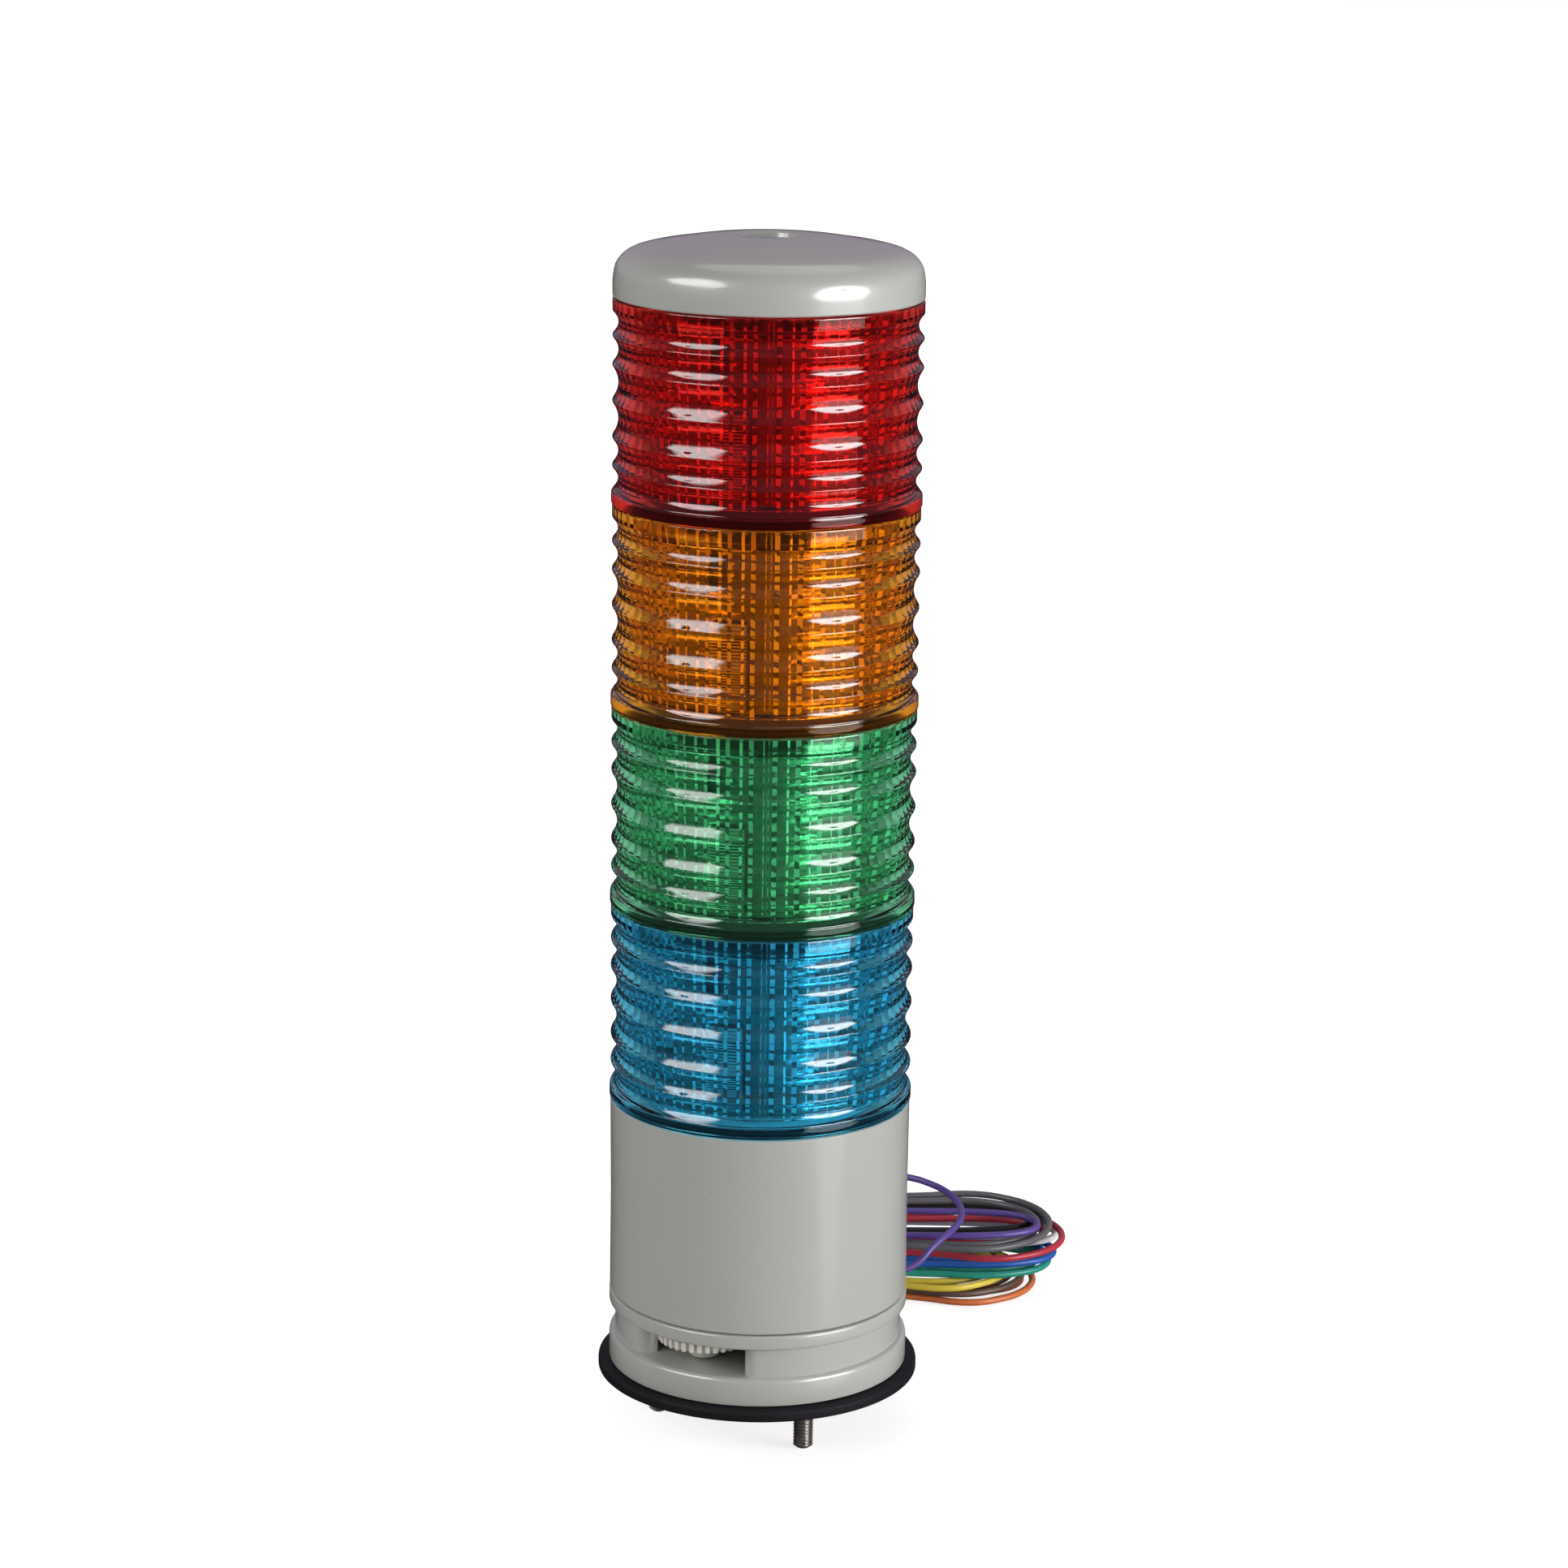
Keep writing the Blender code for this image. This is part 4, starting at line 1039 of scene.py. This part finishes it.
wheelSettings = {
    "centre": (-10.3864, -16.6217),
    "radius": 9.5,
    "teeth": 36,
    "toothDepth": 1.0,
    # radius share and angle share of one tooth, from its root over its land
    "toothLine": ((0.0, 0.02), (0.10, 0.05), (0.90, 0.09), (1.0, 0.15), (1.0, 0.60),
                  (0.90, 0.66), (0.10, 0.70), (0.0, 0.73)),
    "low": 22.9,
    "high": 24.8,
    "bevel": 0.08,
    "hub": ((3.1, 23.2, 0), (3.1, 19.4, 0.35), (1.1, 19.4, 0.2), (1.1, 20.4, 0),
            (0.9, 20.6, 0), (0.9, 23.2, 0)),
    "hubSteps": 64,
    "spindle": ((1.5, 33.4, 0.3), (1.5, 24.0, 0), (0.3, 24.0, 0), (0.3, 33.4, 0)),
    "spindleSteps": 32,
    "finish": {"colour": (0.74, 0.72, 0.655), "roughness": 0.42, "clouding": 0.10,
               "specks": 0.4},
}


def makeWheel(s):
    x, y = s["centre"]
    centre = (x * mm, y * mm)
    outline = []
    for tooth in range(s["teeth"]):
        for depth, share in s["toothLine"]:
            radius = s["radius"] - s["toothDepth"] * (1 - depth)
            outline.append(polar(radius * mm, 360 * (tooth + share) / s["teeth"], centre))
    disc = outlinePiece("wheelDisc", outline, s["low"] * mm, s["high"] * mm, 50)
    bevelPiece(disc, s["bevel"], 1, 60)
    for part in ("hub", "spindle"):
        section = softSection(s[part])
        cutPiece(disc, turnPiece(part, section, s[part + "Steps"], centre=centre), "UNION")
    disc.name = "volumeWheel"
    bpy.ops.object.shade_smooth_by_angle(angle=math.radians(40))
    material = mouldedPlastic("wheelPlastic", **s["finish"])
    dress(disc, material, ["volume_wheel"], body="wheel")


makeWheel(wheelSettings)
print("foot parts made")


# Cap nut, washer and rod in the cap's well

capNutSettings = {
    "teeth": 14,
    # (radius, angle share) over one tooth
    "toothLine": ((3.8, 0.0), (3.8, 0.28), (3.42, 0.42), (3.42, 0.58), (3.8, 0.72)),
    "low": 234.9,
    "high": 238.5,
    "bore": 2.25,
    "boreFrom": 232.2,
    "boreTo": 241.2,
    "boreSides": 40,
    "bevel": 0.18,
    "finish": {"colour": (0.66, 0.64, 0.60), "roughness": 0.20, "clouding": 0.2,
               "specks": 0.2, "bump": 0.05, "metallic": 1.0},
}
rodSettings = {
    "washer": ((3.9, 234.6, 0.15), (3.9, 233.8, 0.15), (2.3, 233.8, 0), (2.3, 234.6, 0)),
    "washerSteps": 64,
    "rod": ((0, 237.3), (1.55, 237.3), (1.95, 236.9), (2.0, 236.6), (2.0, 59.6),
            (3.6, 59.6), (3.8, 59.4), (3.8, 57.0), (0, 57.0)),
    "rodSteps": 48,
}


def makeCapNut(s):
    outline = []
    for tooth in range(s["teeth"]):
        for radius, share in s["toothLine"]:
            outline.append(polar(radius * mm, 360 * (tooth + share) / s["teeth"]))
    nut = outlinePiece("capNut", outline, s["low"] * mm, s["high"] * mm, 30)
    cutHole(nut, s["bore"], s["boreFrom"], s["boreTo"], s["boreSides"])
    bevelPiece(nut, s["bevel"], 2, 55)
    bpy.ops.object.shade_smooth_by_angle(angle=math.radians(35))
    dress(nut, mouldedPlastic("nickelPlate", **s["finish"]), ["cap_nut"])


def makeRod(s):
    washer = turnPiece("nutWasher", softSection(s["washer"]), s["washerSteps"])
    dress(washer, steelMaterial, ["cap_washer"])
    points = [(r * mm, z * mm) for r, z in s["rod"]]
    rod = turnPiece("tieRod", points, s["rodSteps"], closed=False)
    dress(rod, steelMaterial, ["tie_rod"])


makeCapNut(capNutSettings)
makeRod(rodSettings)


# Tiers: lens, prism sleeve, reflector, lamp board, plate and seal

tierSettings = {
    "names": ("blue", "green", "orange", "red"),
    "base": 68.7,
    "pitch": 40.0,
    "height": 39.7,
    "tints": {
        "blue": (0.11, 0.61, 0.84),
        "green": (0.22, 0.76, 0.42),
        "orange": (1.0, 0.43, 0.02),
        "red": (0.86, 0.05, 0.035),
    },
    "steps": 144,
    "radius": 30.0,
    "bore": 26.65,
    "ribDepth": 1.15,
    "ribRound": 0.30,
    "crests": (17.64, 12.6, 7.0, 0.0, -7.0, -12.6, -17.64),
    "flankShares": (0.2, 0.4, 0.6, 0.8, 1.0),
    "aboveCrests": 0.15,
    "lowBand": 30.2,
    # steps over the edges: (inwards, down) at the top and at the low band's top, and
    # (inwards, up) at its foot
    "topEdge": ((0.25, 0), (0.06, 0.08), (0, 0.25), (0, 0.35)),
    "bandEdge": ((0.05, 0.12), (0, 0.3)),
    "footEdge": ((0, 0.25), (0.06, 0.08), (0.25, 0)),
    # the skirt that seats on the tier below
    "skirtBore": 27.65,
    "skirtHeight": 2.9,
    "ior": 1.57,
    # the ripples' depth, and how near to the bore its vertices and its faces are
    "boreRipple": 0.03,
    "boreVertices": 0.01,
    "boreFaces": 0.3,
}


# Depth below the crests, that far from a crest, in a round-edged valley.
def valleyDepth(distance, half, s):
    hollow = half - s["ribRound"]
    slope = s["ribDepth"] / (s["ribRound"] / 2 + hollow / 2)
    if distance < s["ribRound"]:
        return slope * distance * distance / (2 * s["ribRound"])
    x = distance - s["ribRound"]
    return slope * s["ribRound"] / 2 + slope * (x - x * x / (2 * hollow))


def lensSection(s):
    middle = s["height"] / 2
    top, radius, low = s["height"], s["radius"], s["lowBand"]
    section = [(radius - inwards, top - down) for inwards, down in s["topEdge"]]
    section.append((radius, middle + s["crests"][0] + s["aboveCrests"]))
    for upper, lower in zip(s["crests"], s["crests"][1:]):
        half = (upper - lower) / 2
        edge = s["ribRound"]
        marks = [0, edge / 3, edge * 2 / 3, edge]
        marks += [edge + (half - edge) * share for share in s["flankShares"]]
        for distance in marks:
            section.append((radius - valleyDepth(distance, half, s),
                            middle + upper - distance))
        for distance in reversed(marks[1:-1]):
            section.append((radius - valleyDepth(distance, half, s),
                            middle + lower + distance))
    band = middle + s["crests"][-1]
    section.append((radius, band))
    section += [(low - inwards, band - down) for inwards, down in s["bandEdge"]]
    section += [(low - inwards, up) for inwards, up in s["footEdge"]]
    section += [(s["skirtBore"], 0), (s["skirtBore"], s["skirtHeight"]),
                (s["bore"], s["skirtHeight"]), (s["bore"], top)]
    return section


# The bore has fine upright ripples, so what it mirrors is broken into strips.
def rippleBore(lens, s):
    for vertex in lens.data.vertices:
        radius = vertex.co.to_2d().length
        if abs(radius - s["bore"] * mm) < s["boreVertices"] * mm:
            turn = math.atan2(vertex.co.y, vertex.co.x) / (2 * math.pi) * s["steps"]
            if round(turn) % 2:
                share = 1 + s["boreRipple"] / s["bore"]
                vertex.co.x *= share
                vertex.co.y *= share
    for face in lens.data.polygons:
        reach = max(lens.data.vertices[i].co.to_2d().length for i in face.vertices)
        if reach < (s["bore"] + s["boreFaces"]) * mm:
            face.use_smooth = False


def makeLenses(s):
    points = [(r * mm, (z + s["base"]) * mm) for r, z in lensSection(s)]
    first = turnPiece("lens", points, s["steps"], smoothAngle=30)
    rippleBore(first, s)
    for i, name in enumerate(s["names"]):
        lens = copyPiece(first, f"lensTube_{name}", (0, 0, i * s["pitch"] * mm))
        material = glassMaterial(f"lens_{name}", s["tints"][name], s["ior"])
        dress(lens, material, [f"lens_{name}"])
    bpy.data.objects.remove(first)


sleeveSettings = {
    "outer": 26.05,
    "window": 25.05,
    "rib": 24.45,
    "ribs": 36,
    "firstRib": -87.4,
    # (degrees from the rib's middle, whether on the rib) over one rib
    "ribLine": ((-2.75, 0), (-1.65, 1), (0, 1), (1.15, 1), (3.10, 0), (5.0, 0)),
    "slit": 0.7,
    "slitSlope": 0.45,
    "slitDeg": -88.9,
    "outerSteps": 144,
    # no rib corner comes nearer to the slit than this many degrees
    "slitClear": 0.05,
    "notchWidth": 2.6,
    "notchHeight": 1.6,
    "notchDepth": 6.0,
    "notchRadius": 25.05,
    # how far the notch's cutter reaches out below the sleeve
    "notchBelow": 1.0,
    "low": 2.9,
    "high": 38.7,
    # a wall is this near to the ribs' middle radius, or turned this far from the radius;
    # level faces and those that look straight in stay clear
    "wallReach": 0.2,
    "wallTurn": 0.4,
    "levelTurn": 0.1,
    "inwardTurn": -0.9,
    "tint": (0.97, 0.98, 0.98),
    "ior": 1.49,
}
paintedGlintWallSettings = {
    "stretch": (240.0, 240.0, 420.0),
    "waveScale": 0.227,
    "distortion": 5.0,
    "detailScale": 4.0,
    # (place on the wave, shade) of the dim and the bright dashes, a painted glint down each
    # wall
    "dim": (0.22, 0.12),
    "bright": (0.50, 1.0),
    "roughness": 0.32,
    "metallic": 0.05,
    "bump": 0.6,
    "bumpDistance": 0.3,
}


# Fine-ground rib walls, lit by the lamps, with painted glints: their colour is brighter and
# dimmer by turns down their length, a painted glint broken into dashes.
def paintedGlintWallMaterial(s):
    material, shader = newMaterial("groundWallPaintedGlints")
    tree = material.node_tree
    place = addNode(tree, "TexCoord").outputs["Object"]
    stretch = addNode(tree, "Mapping", {"Vector": place, "Scale": s["stretch"]})
    paintedGlintDashes = addNode(tree, "TexWave", {"Vector": stretch.outputs[0],
                                       "Scale": s["waveScale"],
                                       "Distortion": s["distortion"], "Detail": 2.0,
                                       "Detail Scale": s["detailScale"]},
                     bands_direction="Z")
    # painted glints: the walls' colour swings from dim to near white along the dashes
    tone = addNode(tree, "ValToRGB", {0: paintedGlintDashes.outputs["Fac"]})
    for stop, (position, shade) in zip(tone.color_ramp.elements, (s["dim"], s["bright"])):
        stop.position = position
        stop.color = (shade, shade, shade, 1)
    setInputs(tree, shader, {"Base Color": tone.outputs[0],
                             "Roughness": s["roughness"], "Metallic": s["metallic"]})
    addBump(material, shader, paintedGlintDashes.outputs["Fac"], s["bump"], s["bumpDistance"] * mm)
    return material


# A C shape: plain outside and ribbed inside, from one wall of its slit to the other.
def sleeveOutline(s):
    halfSlit = math.degrees(s["slit"] / 2 / s["outer"])
    start, end = s["slitDeg"] + halfSlit, s["slitDeg"] - halfSlit + 360
    first, last = start + s["slitSlope"], end - s["slitSlope"]
    count = s["outerSteps"]
    outline = [polar(s["outer"] * mm, first + (last - first) * i / count)
               for i in range(count + 1)]
    line = []
    for rib in range(-1, s["ribs"] + 1):
        for shift, onRib in s["ribLine"]:
            degrees = s["firstRib"] + 360 * rib / s["ribs"] + shift
            line.append((degrees, s["rib"] if onRib else s["window"]))
    near, far = start + s["slitClear"], end - s["slitClear"]
    inside = [(d, r) for d, r in line if near < d < far]
    before = max(p for p in line if p[0] <= near)
    after = min(p for p in line if p[0] >= far)
    inside = [(start, before[1])] + inside + [(end, after[1])]
    return outline + [polar(radius * mm, degrees) for degrees, radius in reversed(inside)]


# The ribs' side walls and the slit's own are ground and take the painted glint dashes, and all
# else is clear.
def grindWalls(sleeve, s):
    for face in sleeve.data.polygons:
        away = face.center.to_2d()
        turnedBy = face.normal.to_2d().normalized().dot(away.normalized())
        onWall = abs(away.length / mm - (s["window"] + s["rib"]) / 2) < s["wallReach"]
        onWall = onWall or abs(turnedBy) < s["wallTurn"]
        isUpright = abs(face.normal.z) < s["levelTurn"]
        face.material_index = int(onWall and isUpright and turnedBy > s["inwardTurn"])


# One sleeve with a notch below its slit, then a copy in each tier.
def makeSleeves(s, t):
    low, high = t["base"] + s["low"], t["base"] + s["high"]
    first = outlinePiece("sleeve", sleeveOutline(s), low * mm, high * mm, 30)
    bottom, top = low - s["notchBelow"], low + s["notchHeight"]
    cutPiece(first, boxPiece(
        "notch", (*polar(s["notchRadius"], s["slitDeg"]), (bottom + top) / 2),
        (s["notchWidth"], s["notchDepth"], top - bottom)))
    bpy.ops.object.shade_smooth_by_angle(angle=math.radians(30))
    first.data.materials.append(glassMaterial("clearSleeve", s["tint"], s["ior"]))
    first.data.materials.append(paintedGlintWallMaterial(paintedGlintWallSettings))
    grindWalls(first, s)
    for i, name in enumerate(t["names"]):
        sleeve = copyPiece(first, f"sleeve_{name}", (0, 0, i * t["pitch"] * mm))
        dress(sleeve, None, [f"prism_{name}"])
    bpy.data.objects.remove(first)


# Heights here are above the tier's base.
columnSettings = {
    "rows": 3,
    "low": 4.4,
    "high": 34.8,
    "radius": 19.0,
    "waist": 17.2,
    "wall": 1.6,
    "combPitch": 0.55,
    "combDepth": 0.16,
    "facets": 120,
}
boardSettings = {
    "section": ((23.5, 4.1, 0.1), (23.5, 2.9, 0.1), (2.3, 2.9, 0), (2.3, 4.1, 0)),
    "steps": 96,
    "chips": 18,
    "chipCircle": 21.4,
    "chipHeight": 4.65,
    "chipSize": (2.8, 3.0, 1.2),
    "chipBevel": 0.2,
}
plateSettings = {
    "steps": 128,
    "plate": ((27.35, 2.6, 0.2), (27.35, 1.1, 0.2), (26.35, 1.1, 0), (26.35, -0.9, 0.3),
              (24.85, -0.9, 0.3), (24.85, 1.2, 0), (2.3, 1.2, 0), (2.3, 2.6, 0)),
    "seal": ((27.25, 0.8, 0.2), (27.25, 0, 0.2), (26.65, 0, 0.1), (26.65, 0.8, 0.1)),
}
socketSettings = {"deg": -107.5, "halfDeg": 8.5, "radius": 22.8, "depth": 3.0, "low": 4.6,
                  "rows": 14, "pitch": 1.10, "fill": 0.42, "comb": 1.2, "back": 0.9}
blockSettings = {"deg": -112.5, "radius": 23.0, "low": 27.0, "high": 33.4, "stem": 39.9,
                 "width": 3.4, "depth": 2.6, "inset": 0.7, "stemShift": (1.4, 0.5),
                 "bevel": 0.15}
coreFinishes = {
    "silverPlastic": {"colour": (0.60, 0.60, 0.58), "roughness": 0.14, "clouding": 0.3,
                      "specks": 0.1, "bump": 0.04, "metallic": 0.84},
    "lampBoard": {"colour": (0.24, 0.25, 0.24), "roughness": 0.45, "specks": 0.2},
    "lampChip": {"colour": (0.24, 0.22, 0.14), "roughness": 0.30, "specks": 0.0},
    "blackPlastic": {"colour": (0.030, 0.030, 0.032), "roughness": 0.40, "clouding": 0.3,
                     "specks": 0.4},
    "brightSilver": {"colour": (0.95, 0.95, 0.92), "roughness": 0.24, "clouding": 0.6,
                     "specks": 0.0, "bump": 0.6, "metallic": 0.4},
}


# The silver column, waisted row by row and combed across.
def makeColumn(s, t):
    pitch = (s["high"] - s["low"]) / s["rows"]
    bore = s["waist"] - s["wall"]
    count = round((s["high"] - s["low"]) / s["combPitch"])
    step = (s["high"] - s["low"]) / count
    section = [(bore, s["high"])]
    for i in range(count):
        for part, depth in ((0, 0), (0.5, s["combDepth"])):
            down = (i + part) * step
            along = (down % pitch) / pitch
            waist = (s["radius"] - s["waist"]) * min(1, 2 * along, 2 - 2 * along)
            section.append((s["radius"] - waist - depth, s["high"] - down))
    section += [(s["radius"], s["low"]), (bore, s["low"])]
    points = [(r * mm, (z + t["base"]) * mm) for r, z in section]
    return turnPiece("column", points, s["facets"], smoothAngle=5)


# The lamp board, and the ring of lamps on it.
def makeBoard(s, t):
    section = softSection(lifted(s["section"], t["base"]))
    board = turnPiece("board", section, s["steps"])
    chip = boxPiece("chip", (s["chipCircle"], 0, s["chipHeight"] + t["base"]),
                    s["chipSize"])
    bpy.ops.object.mode_set(mode="EDIT")
    bpy.ops.mesh.bevel(offset=s["chipBevel"] * mm, segments=2, affect="EDGES")
    finishPiece(chip, 40)
    chips = [copyPiece(chip, f"chip{i}", turnDeg=360 * (i + 0.5) / s["chips"])
             for i in range(s["chips"])]
    bpy.data.objects.remove(chip)
    return board, joinPieces("leds", chips)


# The socket that stands in front of the column: silver combs on a dark back.
def makeSocket(s, t):
    low = t["base"] + s["low"]
    outline = socketOutline(s, 0, s["comb"])
    parts = []
    for row in range(s["rows"]):
        bottom = low + row * s["pitch"]
        part = outlinePiece(f"socketRow{row}", outline, bottom * mm,
                            (bottom + s["pitch"] * s["fill"]) * mm, 20)
        parts.append(part)
    outline = socketOutline(s, s["back"], s["depth"])
    back = outlinePiece("socketBack", outline, low * mm,
                        (low + s["rows"] * s["pitch"]) * mm, 20)
    return joinPieces("socket", parts), back


# A short arc of the socket, between two depths behind its face.
def socketOutline(s, front, back):
    half = s["halfDeg"]
    outer, inner = s["radius"] - front, s["radius"] - back
    corners = ((outer, -half), (outer, 0), (outer, half), (inner, half), (inner, -half))
    return [polar(radius * mm, s["deg"] + turn) for radius, turn in corners]


# The black block that joins a tier to the next, hung from the skirt above.
def makeContactBlock(s, t):
    low, high = t["base"] + s["low"], t["base"] + s["high"]
    block = boxPiece("contactBlock", (s["radius"], 0, (low + high) / 2),
                     (s["depth"], s["width"], high - low))
    bpy.ops.object.mode_set(mode="EDIT")
    bpy.ops.mesh.select_all(action="DESELECT")
    bpy.ops.object.mode_set(mode="OBJECT")
    for face in block.data.polygons:
        face.select = face.normal.z > 0.9
    bpy.ops.object.mode_set(mode="EDIT")
    bpy.ops.mesh.inset(thickness=s["inset"] * mm)
    outward, across = s["stemShift"]
    bpy.ops.mesh.extrude_region_move(TRANSFORM_OT_translate={
        "value": (outward * mm, across * mm, (s["stem"] - s["high"]) * mm)})
    bpy.ops.mesh.select_all(action="SELECT")
    bpy.ops.mesh.bevel(offset=s["bevel"] * mm, segments=2, affect="EDGES")
    finishPiece(block, 40)
    turned = copyPiece(block, "contactTurned", turnDeg=s["deg"])
    bpy.data.objects.remove(block)
    return turned


# What stands inside a tier, made once and copied into all four.
def makeCores(t):
    silver, boardMaterial, ledMaterial, black, bright = (
        mouldedPlastic(name, **finish) for name, finish in coreFinishes.items())
    column = makeColumn(columnSettings, t)
    board, leds = makeBoard(boardSettings, t)
    plate, seal = (turnPiece(part, softSection(lifted(plateSettings[part], t["base"])),
                             plateSettings["steps"]) for part in ("plate", "seal"))
    block = makeContactBlock(blockSettings, t)
    socket, back = makeSocket(socketSettings, t)
    for i, name in enumerate(t["names"]):
        up = (0, 0, i * t["pitch"] * mm)
        plateMaterial, plateSlot = black, "black_plastic"
        if i == 0:
            plateMaterial, plateSlot = greyPlastic, "grey_plastic"
        dress(copyPiece(column, f"column_{name}", up), silver,
              [f"reflector_{name}"])
        dress(copyPiece(board, f"board_{name}", up), boardMaterial,
              [f"led_board_{name}"])
        dress(copyPiece(leds, f"leds_{name}", up), ledMaterial)
        dress(copyPiece(plate, f"plate_{name}", up), plateMaterial,
              [f"tier_plate_{name}"])
        dress(copyPiece(seal, f"ring_{name}", up), rubber,
              [f"seal_{name}"])
        dress(copyPiece(block, f"contact_{name}", up), black)
        dress(copyPiece(socket, f"socket_{name}", up), bright)
        dress(copyPiece(back, f"socketBack_{name}", up), black)
    up = (0, 0, len(t["names"]) * t["pitch"] * mm)
    dress(copyPiece(seal, "ring_cap", up), rubber, ["seal_cap"])
    for piece in (column, board, leds, plate, seal, block, socket, back):
        bpy.data.objects.remove(piece)


makeLenses(tierSettings)
makeSleeves(sleeveSettings, tierSettings)
makeCores(tierSettings)
print("tiers made")


# Parts inside the base, which keep their CAD shapes

# the node, its material's name and its finish
insideFinishes = (
    ("volume_pot", "potCase",
     {"colour": (0.36, 0.36, 0.35), "roughness": 0.32, "clouding": 0.3, "specks": 0.3,
      "bump": 0.15, "metallic": 1.0}),
    ("control_board", "boardGreen",
     {"colour": (0.03, 0.16, 0.07), "roughness": 0.36, "clouding": 0.3, "specks": 0.8,
      "bump": 0.2, "speckColour": (0.62, 0.60, 0.52)}),
    ("sounder", "sounderCase",
     {"colour": (0.020, 0.020, 0.022), "roughness": 0.45, "clouding": 0.4, "specks": 0.5,
      "bump": 0.25}),
)


def paintInside(finishes):
    for nodeName, name, finish in finishes:
        material = mouldedPlastic(name, **finish)
        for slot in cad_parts[nodeName].material_slots:
            slot.material = material


paintInside(insideFinishes)
print("inner parts painted")
